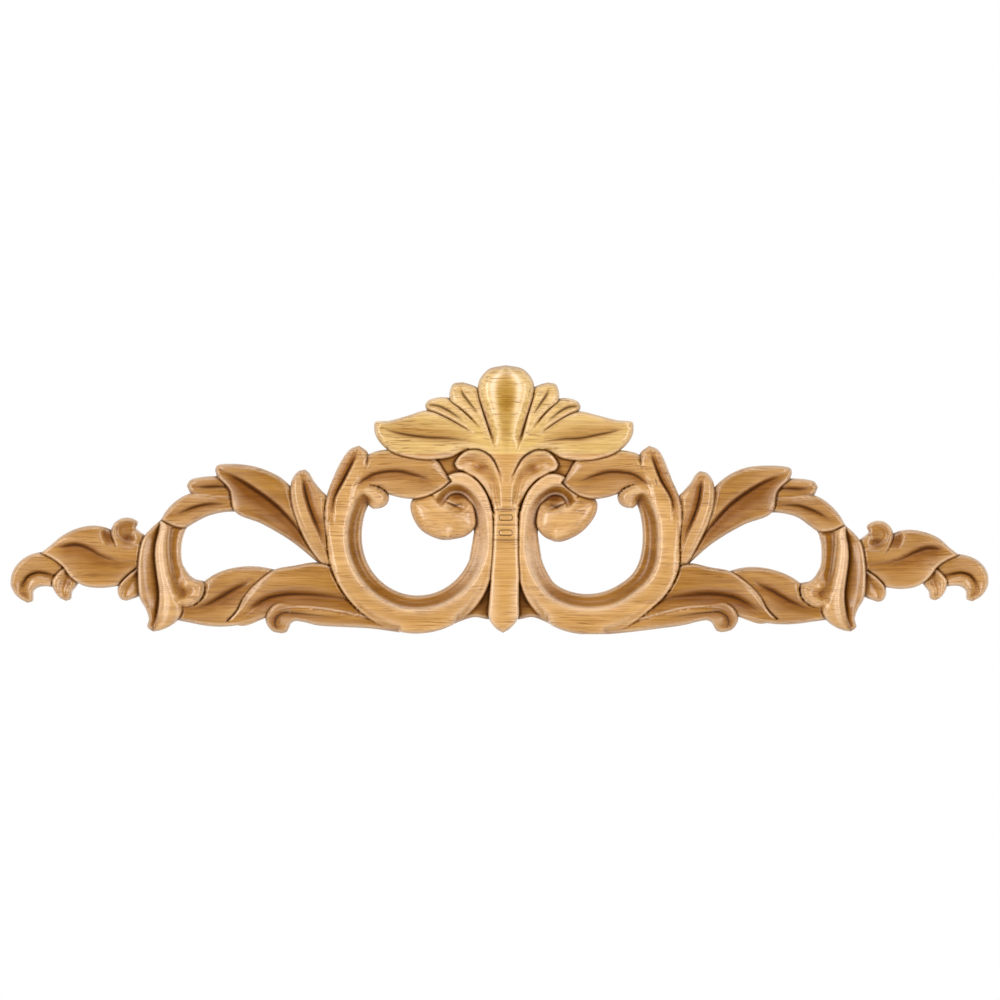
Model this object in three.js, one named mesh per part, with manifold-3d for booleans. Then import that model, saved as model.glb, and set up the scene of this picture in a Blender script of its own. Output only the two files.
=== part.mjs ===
// Acanthus onlay: a long pierced wood carving for the front of a cabinet, with a palmette in the
// middle, two C-scrolls, and leaf work that runs out to a spray at each end.
// Millimetres. +X runs to the right, +Z up, the flat back lies in Y = 0 and the carving faces -Y.

import * as THREE from "three";
import { mergeVertices } from "three/addons/utils/BufferGeometryUtils.js";
import Module from "manifold-3d";

// Sizes that can be set by themselves
const length = 300; // from tip to tip
const thickness = 11; // from the flat back to the highest point of the relief
const glueGap = 0.3; // left open between the two boards, where the glue line is
const sawWaste = 1; // wood behind the back plane, taken off when the two boards are cut to shape

// How finely the solids are cut
const stationsPerSpan = 1.5; // cross-sections for each span between two points of a rail
const ringStations = 24; // cross-sections round a C-scroll
const shortestEdge = 0.03; // edges shorter than this are shrunk to a point
const sliverHeight = 0.01; // faces lower than this are taken out
const cleaningPasses = 20;
const tipWidth = 0.1; // in the pattern's units: rails closer than this meet in a tip

// The paper pattern. Its lines are drawn in a plan that is 979 units long, with x to the right and
// y down from the sheet's corner, and only the left half is drawn. Heights are shares of thickness.
const pattern = { length: 979, middle: 502, level: 500 };
const unit = length / pattern.length;
const crestBlock = { glueLine: 454, endClearance: 3 };

// Cross-profiles, each a list of [place, height]. A place counts the rails of a form, so that 0 is
// its first edge, 1 its vein and 2 its second edge. A height is a share of the form's own rise.
const profiles = {
  blade: [[0, 0.56], [0.2, 0.9], [0.86, 0.92], [1, 0.72], [1.2, 0.76], [1.8, 0.86], [2, 0.54]],
  bladeTurned: [[0, 0.54], [0.2, 0.86], [0.8, 0.76], [1, 0.72], [1.14, 0.92], [1.8, 0.9], [2, 0.56]],
  round: [[0, 0.55], [0.3, 0.86], [1, 1], [1.7, 0.86], [2, 0.55]],
  hollow: [[0, 0.6], [0.2, 0.98], [1, 0.74], [1.8, 0.95], [2, 0.6]],
  flat: [[0, 0.6], [0.12, 0.92], [0.3, 1], [1.7, 1], [1.88, 0.92], [2, 0.6]],
  flute: [[0, 0.55], [0.45, 0.92], [1, 1], [2, 0.78], [3, 1], [3.55, 0.92], [4, 0.55]],
  scroll: [[0, 0.62], [0.2, 0.94], [0.9, 1], [1.15, 0.76], [2, 0.52]],
  slope: [[0, 1], [0.5, 0.7], [1, 0.62]],
  low: [[0, 1], [1, 1]],
};

// The forms of the left half. Rails are drawn from a form's free tip to its root, or along it.
// rise gives the height along the way, from the first point to the last.
const forms = {
  rayInner: {
    profile: "blade", rise: [0.62, 0.84, 0.92], rails: [
      [[462, 382], [451, 386], [450, 400], [472, 419], [492, 450]],
      [[462, 382], [461.5, 388], [468, 401], [481, 419], [494, 450]],
      [[462, 382], [474, 383.5], [486, 402], [495, 428], [502, 455]]],
  },
  rayOuter: {
    profile: "blade", rise: [0.56, 0.78, 0.9], rails: [
      [[425, 405], [431, 399.5], [452, 396], [479, 418], [494, 446]],
      [[425, 405], [434, 405.5], [447, 410], [466, 423], [488, 447]],
      [[425, 405], [427, 411.5], [447, 418], [467, 429.5], [486, 448]]],
  },
  sideLeaf: {
    profile: "blade", rise: [0.6, 0.76, 0.82, 0.9], rails: [
      [[374, 426], [377, 421], [408, 415.5], [432, 406], [476, 424], [500, 440]],
      [[374, 426], [380, 428], [404, 434.5], [427, 437.5], [468, 441], [500, 448]],
      [[374, 426], [376, 436], [390, 451.5], [414, 459], [460, 453], [500, 462]]],
  },
  arm: {
    profile: "round", rise: [0.9, 0.88, 0.78], rails: [
      [[494, 522], [491, 501], [482, 483], [468, 472], [457, 469], [454, 463]],
      [[506, 500], [499, 483], [490, 467], [478, 460], [464, 460], [454, 463]],
      [[512, 490], [503, 477], [493, 459], [478, 449.5], [463, 452], [454, 463]]],
  },
  band: {
    profile: "scroll", rise: [0.86, 0.84, 0.72], rails: [
      [[494, 552], [494, 520], [489, 496], [476, 479], [464, 472], [448, 474], [428, 490]],
      [[488.5, 552], [488, 520], [483.5, 502], [473, 487], [460, 480], [446, 482], [434, 494]],
      [[472, 552], [475, 520], [472, 507], [465, 497], [456, 494], [450, 497], [444, 508]]],
  },
  ball: {
    profile: "round", rise: [0.72, 0.96, 0.9, 0.56], rails: [
      [[440, 488], [412, 500], [411, 512], [421, 530], [440, 539.5], [450, 540]],
      [[452, 494], [442, 505], [441, 515], [444, 527], [448, 535], [450, 540]],
      [[462, 497], [471, 502], [476, 515], [476, 527], [467, 537], [450, 540]]],
  },
  smallCurl: {
    profile: "round", rise: [0.8, 0.84, 0.55], rails: [
      [[352, 486], [368, 484], [382, 488], [389, 496], [386, 504.5], [378, 508.5]],
      [[352, 500], [364, 497], [374, 498], [378, 502], [378, 506], [378, 508.5]],
      [[352, 516], [360, 508], [366, 508.5], [371, 509], [375, 509], [378, 508.5]]],
  },
  tallLeaf: {
    profile: "blade", rise: [0.6, 0.84, 0.86, 0.84], rails: [
      [[359, 445.5], [349, 450], [333, 478], [325, 505], [326, 535], [336, 575]],
      [[359, 445.5], [355, 456], [345, 477], [335, 502], [336, 535], [344, 570]],
      [[359, 445.5], [368, 453], [365, 471], [357, 492], [352, 520], [352, 560]]],
  },
  crossLeaf: {
    profile: "bladeTurned", rise: [0.76, 0.78, 0.74, 0.5], rails: [
      [[352, 476], [362, 458], [380, 449.8], [406, 449], [430, 456], [444, 470], [451.5, 481.5]],
      [[350, 492], [361, 482], [380, 472.5], [400, 471.5], [424, 478.5], [440, 481], [451.5, 481.5]],
      [[352, 500], [365, 490], [384, 493], [402, 498], [422, 499], [442, 489], [451.5, 481.5]]],
  },
  midLeaf: {
    profile: "bladeTurned", rise: [0.6, 0.84, 0.84, 0.7], rails: [
      [[305, 469.5], [294, 474.5], [291, 500], [299, 528], [315, 556], [336, 580]],
      [[305, 469.5], [304, 480], [308.5, 504], [317, 525], [326, 550], [337, 580]],
      [[305, 469.5], [312, 478], [326, 495], [329, 520], [334, 550], [340, 580]]],
  },
  bigLeaf: {
    profile: "blade", rise: [0.6, 0.78, 0.8, 0.66], rails: [
      [[215, 470], [219, 464.5], [250, 466], [284, 480], [306, 510], [338, 580]],
      [[215, 470], [225, 473], [250, 486], [277, 506], [300, 532], [338, 580]],
      [[215, 470], [221, 482], [235, 511.5], [269, 527], [306, 553], [338, 580]]],
  },
  archLeaf: {
    profile: "blade", rise: [0.64, 0.66, 0.62], rails: [
      [[246, 496], [222, 494], [198, 493], [176, 500.5], [165, 511], [160, 522]],
      [[246, 504], [222, 504], [200, 505.5], [182, 512], [171, 518], [162, 525]],
      [[246, 514], [226, 512], [202, 517.5], [186, 527], [176, 528], [166, 527]]],
  },
  archLobe: {
    profile: "round", rise: [0.6, 0.6, 0.5], rails: [
      [[240, 478], [214, 476], [193, 478.5], [186.5, 485.5]],
      [[240, 488], [214, 487], [196, 487], [186.5, 485.5]],
      [[240, 502], [214, 500], [193, 495], [186.5, 485.5]]],
  },
  calyxBlade: {
    profile: "hollow", rise: [0.62, 0.64, 0.64, 0.5], rails: [
      [[159.5, 519.5], [147, 532], [138.5, 556], [138, 590], [147, 612], [148, 626], [151.5, 631]],
      [[162, 524], [152, 536], [146, 556], [147, 590], [152, 612], [151.5, 624], [152.5, 631.2]],
      [[163, 528], [159, 538], [157, 556], [160, 590], [159, 612], [156, 623], [154, 631]]],
  },
  calyxRib: {
    profile: "round", rise: [0.74, 0.86, 0.86, 0.55], rails: [
      [[161, 521], [155.5, 540], [154.5, 556], [158.5, 590], [157.5, 610], [155, 623], [153, 631.8]],
      [[166, 522], [163, 540], [163.5, 557], [168, 590], [167.5, 610], [161, 624], [154, 631.9]],
      [[174, 523], [170.5, 540], [170.5, 557], [179, 590], [182.5, 608], [174, 622], [156, 631.6]]],
  },
  calyxCove: {
    profile: "slope", rise: [0.72, 0.66, 0.64], rails: [
      [[169, 520], [167, 538], [167.5, 557], [175, 587], [186, 604]],
      [[188, 524], [182, 541], [181.5, 560], [191, 578], [205, 583]]],
  },
  calyxCurl: {
    profile: "round", rise: [0.62, 0.68, 0.6], rails: [
      [[186, 576], [197, 579.5], [204.5, 587], [202.5, 598.5], [193, 605.5], [183, 607]],
      [[181, 578], [190, 586], [194, 591], [192, 597], [187, 602], [183, 606]],
      [[174, 580], [179, 588], [180, 593], [180, 598], [180, 602], [181, 605]]],
  },
  footLeaf: {
    profile: "blade", rise: [0.68, 0.7, 0.6], rails: [
      [[290, 575], [262, 567.5], [236, 567], [212, 576], [194, 591], [175, 612]],
      [[290, 590], [264, 577], [238, 587], [214, 600.5], [196, 609], [174, 616]],
      [[290, 612], [265, 617.5], [243, 624.5], [216, 626.7], [194, 624], [174, 620]]],
  },
  fernLeaf: {
    profile: "blade", rise: [0.58, 0.76, 0.78, 0.74], rails: [
      [[225.5, 622.5], [241, 602], [258, 580.5], [284, 567], [318, 562.5], [352, 574]],
      [[225.5, 622.5], [252, 608], [272, 596.5], [302, 594], [336, 597], [372, 606]],
      [[225.5, 622.5], [250, 621], [272, 614], [304, 609], [340, 613], [384, 624]]],
  },
  footCurl: {
    profile: "hollow", rise: [0.6, 0.78, 0.78, 0.74, 0.56], rails: [
      [[432, 606], [366, 612], [318, 606], [280, 602.5], [266, 614], [269, 629], [281, 633.5]],
      [[432, 616], [366, 619.5], [318, 615], [286, 612.5], [276, 618], [275, 626], [281, 633.5]],
      [[432, 626], [366, 628], [318, 625.5], [296, 621.2], [289.5, 626], [287, 631.5], [281, 633.5]]],
  },
  endHook: {
    profile: "hollow", rise: [0.5, 0.56, 0.58, 0.44], rails: [
      [[68, 562], [41, 552], [22, 559], [10.5, 577], [12.5, 592], [31, 603]],
      [[68, 573], [44, 573.5], [31, 574.5], [22, 585], [22, 594], [31, 603]],
      [[70, 584], [46, 586.2], [38, 588], [33, 592.5], [31.5, 598], [31, 603]]],
  },
  endLobe: {
    profile: "round", rise: [0.5, 0.52, 0.42], rails: [
      [[68, 564], [56, 574], [52, 584], [58, 597], [68, 601.5]],
      [[72, 568], [65, 579], [62, 589], [65, 597], [68, 601.5]],
      [[80, 574], [78, 582], [74, 588], [71, 597], [68, 601.5]]],
  },
  topCurl: {
    profile: "round", rise: [0.56, 0.6, 0.5], rails: [
      [[124, 554], [112, 538], [114, 523], [128, 517.8], [138, 521.5], [136.5, 526]],
      [[132, 552], [121, 537], [122, 526], [130, 523], [135, 524], [136.5, 526]],
      [[148, 552], [145, 537], [139, 531.5], [137, 529.5], [136, 528], [136.5, 526]]],
  },
  underLobe: {
    profile: "hollow", rise: [0.54, 0.54, 0.42], rails: [
      [[136, 568], [124, 578], [117.5, 587], [118.5, 597], [126, 600.8]],
      [[140, 573], [131, 581], [127, 588], [125, 596], [126, 600.8]],
      [[146, 576], [145, 583], [143, 590], [136, 598.5], [126, 600.8]]],
  },
  endLeaf: {
    profile: "blade", rise: [0.56, 0.66, 0.66, 0.6], rails: [
      [[40, 553], [49, 546.5], [61, 535.5], [79, 527.5], [102, 526], [122, 536], [146, 545]],
      [[40, 553], [52, 549], [65, 545.5], [82, 546], [102, 556], [122, 562], [146, 562]],
      [[40, 553], [54, 561], [67, 574], [79, 584], [98, 588.3], [122, 586.5], [146, 582]]],
  },
  ground: {
    profile: "low", rise: [0.42, 0.42], rails: [
      [[424, 480], [427, 451], [500, 451]],
      [[425, 487], [447, 503], [500, 522]]],
  },
  heel: {
    profile: "low", rise: [0.42, 0.42], rails: [
      [[500, 570], [484, 570], [464, 600], [455, 622.5]],
      [[500, 620], [488, 619.5], [474, 617.3], [456, 623]]],
  },
};

// The forms that stand in the middle are drawn whole: a list of rails is mirrored about its last one.
const middleForms = {
  palmetteLobe: {
    profile: "flute", rise: [0.66, 0.94, 1, 0.95, 0.84], rails: [
      [[506, 365], [484, 373], [478, 389], [485, 420], [494, 447], [496, 475]],
      [[506, 365], [495, 375], [491, 392], [495, 418], [501, 447], [502, 475]],
      [[506, 365], [506, 378], [506, 393], [506, 420], [506, 447], [506, 475]]],
  },
  stem: {
    profile: "flat", rise: [0.66, 0.9, 0.92, 0.9, 0.9], rails: [
      [[503, 632.5], [494, 627], [487, 618], [489, 595], [492.5, 555], [493.5, 525], [493, 505],
        [498, 470], [496, 446]],
      [[503, 632.5], [503, 627], [503.5, 618], [504, 595], [505.5, 555], [506, 525], [506.5, 505],
        [506.5, 470], [506.5, 446]]],
  },
};

// The C-scroll's ring is drawn about the eye of the scroll: a thin inner rim, a cove that climbs to
// an arris, and a band from there to the outer edge. It runs from the small curl, by the foot, to the
// stem. The lists give its inner and outer radius along the way.
const ring = {
  eye: [417.5, 540],
  from: 212,
  to: -12,
  innerRadius: [60.5, 55.5, 54.5, 54.5, 55, 55, 55, 55, 55],
  outerRadius: [90, 90, 90, 91, 93.5, 92.5, 88, 78, 76],
  rimWidth: 2,
  coveWidth: 14,
  arrisWidth: 3,
  edgeWidth: 6,
  heights: [0.44, 0.5, 0.64, 0.86, 0.88, 0.58],
};

// The right half was cut by eye, so it isn't the exact mirror of the left one. Each entry gives a
// spot of the left half and how far its twin has strayed to the right and down.
const strayReach = 17;
const stray = [
  [470, 385, 8, 0], [451, 389, 3.5, 0.5], [460, 402, 6, 0.5], [428, 402, 1, 2], [396, 418, 0, -2],
  [374, 426, 5, 1], [400, 458, 4, 1.5], [450, 457, 8, 0.5], [480, 425, 9, 0], [495, 610, 3, 0],
  [480, 450, 12, 0.5], [490, 500, 9, 0], [475, 545, 10, 0], [492, 575, 6, 0], [451, 481, 10, 2.5],
  [415, 499, 5, 0.5], [440, 540, -3.5, 2.5], [390, 496, 2, -1], [359, 445, 4.5, 0], [335, 478, 0, 0],
  [324, 520, 3.7, 0], [336, 574, 7.5, 0], [361, 540, 0, 0], [420, 596, 0, -2], [385, 628, 0, 3.5], [424, 632, 0, 1],
  [305, 470, 1.3, 2], [216, 468, 4, 3], [262, 469, 0, 0], [232, 506, 3, 1], [300, 548, 0, 2],
  [188, 486, 0, 1.5], [161, 519, 4, 6.5], [183, 548, -2, 3], [144, 535, -1, 5], [145, 600, -0.5, 0],
  [204, 585, 1, 2], [220, 626, 0, -2.5], [282, 633, 2, -2], [293, 621, -4, 0], [10, 583, -5, -2],
  [31, 603, -1, -2.5], [37, 589, -9, 0], [73, 593, -7, 0], [40, 553, -4, 2.5], [93, 526, 0, 4.7], [98, 587, 0, 1], [67, 601, 1, -1],
  [128, 518, 1, 2], [118, 592, 0, 2],
];

const wasm = await Module();
wasm.setup();

// A point of the pattern where it is drawn, for the left half.
function asDrawn(spot) {
  return spot;
}

// A point of the pattern carried to the right half: mirrored about the middle, then strayed.
function toRight([x, y]) {
  let weightSum = 0.05;
  let right = 0;
  let down = 0;
  for (const [spotX, spotY, byX, byY] of stray) {
    const near = ((x - spotX) ** 2 + (y - spotY) ** 2) / (2 * strayReach ** 2);
    const weight = Math.exp(-near);
    weightSum += weight;
    right += weight * byX;
    down += weight * byY;
  }
  return [2 * pattern.middle - x + right / weightSum, y + down / weightSum];
}

// A pattern point and a height share as a point of the solid.
function place([x, y], share) {
  return [(x - pattern.middle) * unit, -share * thickness, (pattern.level - y) * unit];
}

// A smooth line through a rail's points, as a function of 0 to 1 that spends the same share on
// each span.
function railCurve(points) {
  const spots = points.map(([x, y]) => new THREE.Vector3(x, y, 0));
  const curve = new THREE.CatmullRomCurve3(spots, false, "centripetal");
  return (share) => {
    const spot = curve.getPoint(share);
    return [spot.x, spot.y];
  };
}

// The value at a share of the way along a list, in straight steps between its entries.
function along(list, share) {
  const spot = share * (list.length - 1);
  const first = Math.min(Math.floor(spot), list.length - 2);
  return THREE.MathUtils.lerp(list[first], list[first + 1], spot - first);
}

// A closed solid from a grid of points: rows of [x, y, z] are its carved face, the same grid moved
// behind the back plane its other side, and strips close the sides.
function gridSolid(rows) {
  const columns = rows[0].length;
  const count = rows.length * columns;
  const positions = new Float32Array(2 * count * 3);
  rows.flat().forEach(([x, y, z], i) => {
    positions.set([x, y, z], 3 * i);
    positions.set([x, sawWaste, z], 3 * (count + i));
  });
  const faces = [];
  const quad = (a, b, c, d) => faces.push([a, b, c], [a, c, d]);
  for (let r = 0; r < rows.length - 1; r++) {
    const top = r * columns;
    const back = count + top;
    for (let c = 0; c < columns - 1; c++) {
      quad(top + c, top + c + 1, top + columns + c + 1, top + columns + c);
      quad(back + c, back + columns + c, back + columns + c + 1, back + c + 1);
    }
    const last = columns - 1;
    quad(top, top + columns, back + columns, back);
    quad(top + last, back + last, back + columns + last, top + columns + last);
  }
  const end = (rows.length - 1) * columns;
  for (let c = 0; c < columns - 1; c++) {
    quad(c, count + c, count + c + 1, c + 1);
    quad(end + c, end + c + 1, count + end + c + 1, count + end + c);
  }
  const geometry = new THREE.BufferGeometry();
  geometry.setAttribute("position", new THREE.BufferAttribute(positions, 3));
  geometry.setIndex(faces.flat());
  return solidFrom(geometry);
}

// A three.js geometry as a solid that can be joined and cut. Faces that have shrunk to a line are
// left out, and where the rails ran the other way round, as on the mirrored half, all are turned.
function solidFrom(geometry) {
  geometry.deleteAttribute("normal");
  geometry.deleteAttribute("uv");
  const merged = mergeVertices(geometry, 1e-3);
  const index = merged.index.array;
  const triVerts = [];
  for (let i = 0; i < index.length; i += 3) {
    const [a, b, c] = index.slice(i, i + 3);
    if (a !== b && b !== c && c !== a) triVerts.push(a, b, c);
  }
  const vertProperties = merged.attributes.position.array;
  const solidWith = (corners) => new wasm.Manifold(new wasm.Mesh({
    numProp: 3, vertProperties, triVerts: new Uint32Array(corners),
  }));
  const solid = solidWith(triVerts);
  return solid.volume() < 0 ? solidWith(triVerts.reverse()) : solid;
}

// A carved form: its rails are sampled station by station, and its cross-profile is drawn over
// them. Where the rails meet in a tip, it ends in one point at the height of its rim. carry moves
// the pattern's points.
function carvedForm({ rails, profile, rise }, carry) {
  const curves = rails.map((rail) => railCurve(rail.map(carry)));
  const stations = Math.round(stationsPerSpan * (rails[0].length - 1));
  const rows = [];
  for (let station = 0; station <= stations; station++) {
    const share = station / stations;
    const spots = curves.map((curve) => curve(share));
    const isTip = Math.hypot(spots[0][0] - spots[1][0], spots[0][1] - spots[1][1]) < tipWidth;
    const rimHeight = profiles[profile][0][1];
    rows.push(profiles[profile].map(([across, height]) => {
      const x = along(spots.map((spot) => spot[0]), across / (spots.length - 1));
      const y = along(spots.map((spot) => spot[1]), across / (spots.length - 1));
      return place([x, y], (isTip ? rimHeight : height) * along(rise, share));
    }));
  }
  return gridSolid(rows);
}

// The ring of a C-scroll, from its named radii, widths and heights.
function scrollRing(carry) {
  const rows = [];
  for (let station = 0; station <= ringStations; station++) {
    const share = station / ringStations;
    const angle = THREE.MathUtils.degToRad(along([ring.from, ring.to], share));
    const inner = along(ring.innerRadius, share);
    const outer = along(ring.outerRadius, share);
    const arris = inner + ring.coveWidth + ring.arrisWidth;
    const radii = [inner, inner + ring.rimWidth, inner + ring.coveWidth, arris,
      Math.max(arris + 1, outer - ring.edgeWidth), outer];
    rows.push(radii.map((radius, i) => {
      const x = ring.eye[0] + radius * Math.cos(angle);
      const y = ring.eye[1] + radius * Math.sin(angle);
      return place(carry([x, y]), ring.heights[i]);
    }));
  }
  return gridSolid(rows);
}

// A form of the middle, with its rails mirrored about the last one.
function middleForm({ rails, profile, rise }) {
  const axis = rails.at(-1);
  const mirrored = rails.slice(0, -1).reverse().map((rail) =>
    rail.map(([x, y], i) => [2 * axis[i][0] - x, y]));
  return carvedForm({ rails: [...rails, ...mirrored], profile, rise }, asDrawn);
}

// A box of the pattern's plan, from the back plane out past the highest relief.
function boardBox(left, top, right, bottom) {
  const from = place([left, bottom], 2);
  const to = place([right, top], 0);
  const geometry = new THREE.BoxGeometry(to[0] - from[0], to[1] - from[1], to[2] - from[2]);
  geometry.translate((from[0] + to[0]) / 2, (from[1] + to[1]) / 2, (from[2] + to[2]) / 2);
  return solidFrom(geometry);
}

// All the forms joined, left half, right half and middle, as if carved from one blank.
function wholeCarving() {
  const left = Object.values(forms).map((form) => carvedForm(form, asDrawn));
  const right = Object.values(forms).map((form) => carvedForm(form, toRight));
  const middle = Object.values(middleForms).map(middleForm);
  const solids = [...left, ...right, ...middle, scrollRing(asDrawn), scrollRing(toRight)];
  return solids.reduce((joined, solid) => joined.add(solid));
}

// A face turned round so that its first two corners are the ends of its longest edge, with that
// edge's length, its shortest edge and its height over the longest one.
function faceShape(face, spots) {
  const edges = face.map((corner, i) => ({
    ends: [corner, face[(i + 1) % 3]],
    third: face[(i + 2) % 3],
    span: spots[corner].distanceTo(spots[face[(i + 1) % 3]]),
  }));
  edges.sort((one, other) => other.span - one.span);
  const triangle = new THREE.Triangle(...face.map((corner) => spots[corner]));
  return { longest: edges[0], shortest: edges[2], height: (2 * triangle.getArea()) / edges[0].span };
}

// Joining leaves some edges and slivers far too small to cut. A short edge is shrunk to a point
// where its two ends share just two neighbours, so that the surface stays closed, and a sliver's
// long edge is laid across the other way.
function cleaned(solid) {
  const { vertProperties, triVerts } = solid.getMesh();
  const spots = [];
  for (let i = 0; i < vertProperties.length; i += 3) {
    spots.push(new THREE.Vector3().fromArray(vertProperties, i));
  }
  let faces = [];
  for (let i = 0; i < triVerts.length; i += 3) faces.push([...triVerts.slice(i, i + 3)]);
  for (let pass = 0; pass < cleaningPasses; pass++) {
    const neighbours = spots.map(() => new Set());
    const faceOf = new Map();
    faces.forEach((face, i) => face.forEach((corner, k) => {
      const next = face[(k + 1) % 3];
      neighbours[corner].add(next);
      neighbours[next].add(corner);
      faceOf.set(corner + "," + next, i);
    }));
    const busy = new Set();
    const isFree = (corners) => corners.every((corner) => !busy.has(corner));
    const standIn = new Map();
    faces.slice().forEach((face, i) => {
      const { longest, shortest, height } = faceShape(face, spots);
      if (shortest.span < shortestEdge || (height < sliverHeight && shortest.span < 3 * shortestEdge)) {
        const [keep, drop] = shortest.ends;
        const ring = [...neighbours[keep], ...neighbours[drop]];
        const shared = [...neighbours[keep]].filter((corner) => neighbours[drop].has(corner));
        if (shared.length !== 2 || !isFree(ring)) return;
        standIn.set(drop, keep);
        ring.forEach((corner) => busy.add(corner));
      } else if (height < sliverHeight) {
        const [from, to] = longest.ends;
        const other = faceOf.get(to + "," + from);
        const far = faces[other].find((corner) => corner !== from && corner !== to);
        if (neighbours[longest.third].has(far) || !isFree([from, to, far, longest.third])) return;
        faces[i] = [longest.third, from, far];
        faces[other] = [longest.third, far, to];
        [from, to, far, longest.third].forEach((corner) => busy.add(corner));
      }
    });
    if (!busy.size) break;
    faces = faces.map((face) => face.map((corner) => standIn.get(corner) ?? corner));
    faces = faces.filter((face) => new Set(face).size === 3);
  }
  const geometry = new THREE.BufferGeometry().setFromPoints(spots);
  geometry.setIndex(faces.flat());
  return geometry.toNonIndexed();
}

// A solid as a named mesh of the part.
function boardMesh(name, solid, color) {
  const material = new THREE.MeshStandardMaterial({ color, roughness: 0.45, metalness: 0 });
  const mesh = new THREE.Mesh(cleaned(solid), material);
  mesh.name = name;
  return mesh;
}

// The blank was glued up from two boards before it was carved. The crest board is only as wide as
// the palmette, so its ends stand a little way outside the tips of the palmette's long leaves, and
// the glue line runs level across the middle.
const sheetEdge = 2 * pattern.length;
const halfGap = glueGap / 2 / unit;
const leafTip = forms.sideLeaf.rails[0][0];
const crestLeft = leafTip[0] - crestBlock.endClearance;
const crestRight = toRight(leafTip)[0] + crestBlock.endClearance;
const blank = boardBox(-sheetEdge, -sheetEdge, sheetEdge, sheetEdge);
const carving = wholeCarving().intersect(blank);
const crestBoard = carving.intersect(
  boardBox(crestLeft + halfGap, -sheetEdge, crestRight - halfGap, crestBlock.glueLine - halfGap));
const scrollBoard = carving.subtract(
  boardBox(crestLeft - halfGap, -sheetEdge, crestRight + halfGap, crestBlock.glueLine + halfGap));

const group = new THREE.Group();
group.add(boardMesh("crest_board", crestBoard, 0xd0a86c));
group.add(boardMesh("scroll_board", scrollBoard, 0xc89a62));

export default group;
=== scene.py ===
import math

import bpy
import numpy as np
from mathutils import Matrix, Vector
from mathutils.geometry import delaunay_2d_cdt


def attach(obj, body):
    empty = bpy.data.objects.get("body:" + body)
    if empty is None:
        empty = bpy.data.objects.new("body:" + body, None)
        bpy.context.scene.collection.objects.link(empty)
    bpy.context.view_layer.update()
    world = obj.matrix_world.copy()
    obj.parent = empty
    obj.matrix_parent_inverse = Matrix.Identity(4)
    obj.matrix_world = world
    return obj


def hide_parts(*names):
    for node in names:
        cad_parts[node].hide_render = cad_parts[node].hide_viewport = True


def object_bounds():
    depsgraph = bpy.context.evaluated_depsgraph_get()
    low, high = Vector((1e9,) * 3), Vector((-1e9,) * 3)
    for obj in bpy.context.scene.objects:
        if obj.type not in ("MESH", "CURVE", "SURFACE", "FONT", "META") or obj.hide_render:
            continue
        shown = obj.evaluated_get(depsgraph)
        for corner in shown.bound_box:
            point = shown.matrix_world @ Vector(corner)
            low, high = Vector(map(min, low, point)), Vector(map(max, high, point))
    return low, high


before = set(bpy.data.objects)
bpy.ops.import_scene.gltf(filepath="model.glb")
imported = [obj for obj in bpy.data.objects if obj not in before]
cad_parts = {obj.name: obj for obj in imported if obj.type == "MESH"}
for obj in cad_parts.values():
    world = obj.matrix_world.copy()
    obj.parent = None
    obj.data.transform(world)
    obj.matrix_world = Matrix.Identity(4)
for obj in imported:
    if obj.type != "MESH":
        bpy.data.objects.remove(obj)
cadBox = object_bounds()

# The paper pattern, as in the solids: x to the right and y down from the sheet's corner, 979 units
# from tip to tip, with only the left half drawn. Heights are shares of the thickness. The origin is
# at middle and level, and crestMiddle is the axis of the stem and the palmette.
pattern = {
    "length": 979, "middle": 502, "level": 500, "crestMiddle": 506,
    "glueLine": 454, "endClearance": 3, "glueWidth": 0.04,
}
# The real size in millimetres, and how far inside the solids' box the meshes stay.
real = {"length": 300, "thickness": 11, "boxMargin": 0.01}
unit = real["length"] / pattern["length"]

# How the surface is cut: widths in the pattern's units and depths in millimetres. A groove runs along
# every edge that lies on another form, an arris is rounded beside it, and the outer edges are rounded
# more. The blurs round the corners of profiles and of lists along the way.
cutting = {
    "lineStep": 1.3, "sameSpot": 1e-3, "onLine": 0.2, "profileBlur": 0.05, "listBlur": 0.35,
    "grooveWidth": 1.8, "grooveDepth": 0.6, "arrisWidth": 2.4, "arrisDrop": 0.5,
    "rimWidth": 3.0, "rimDrop": 1.4, "rimReach": 5.5, "softWidth": 9.0,
}

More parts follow.
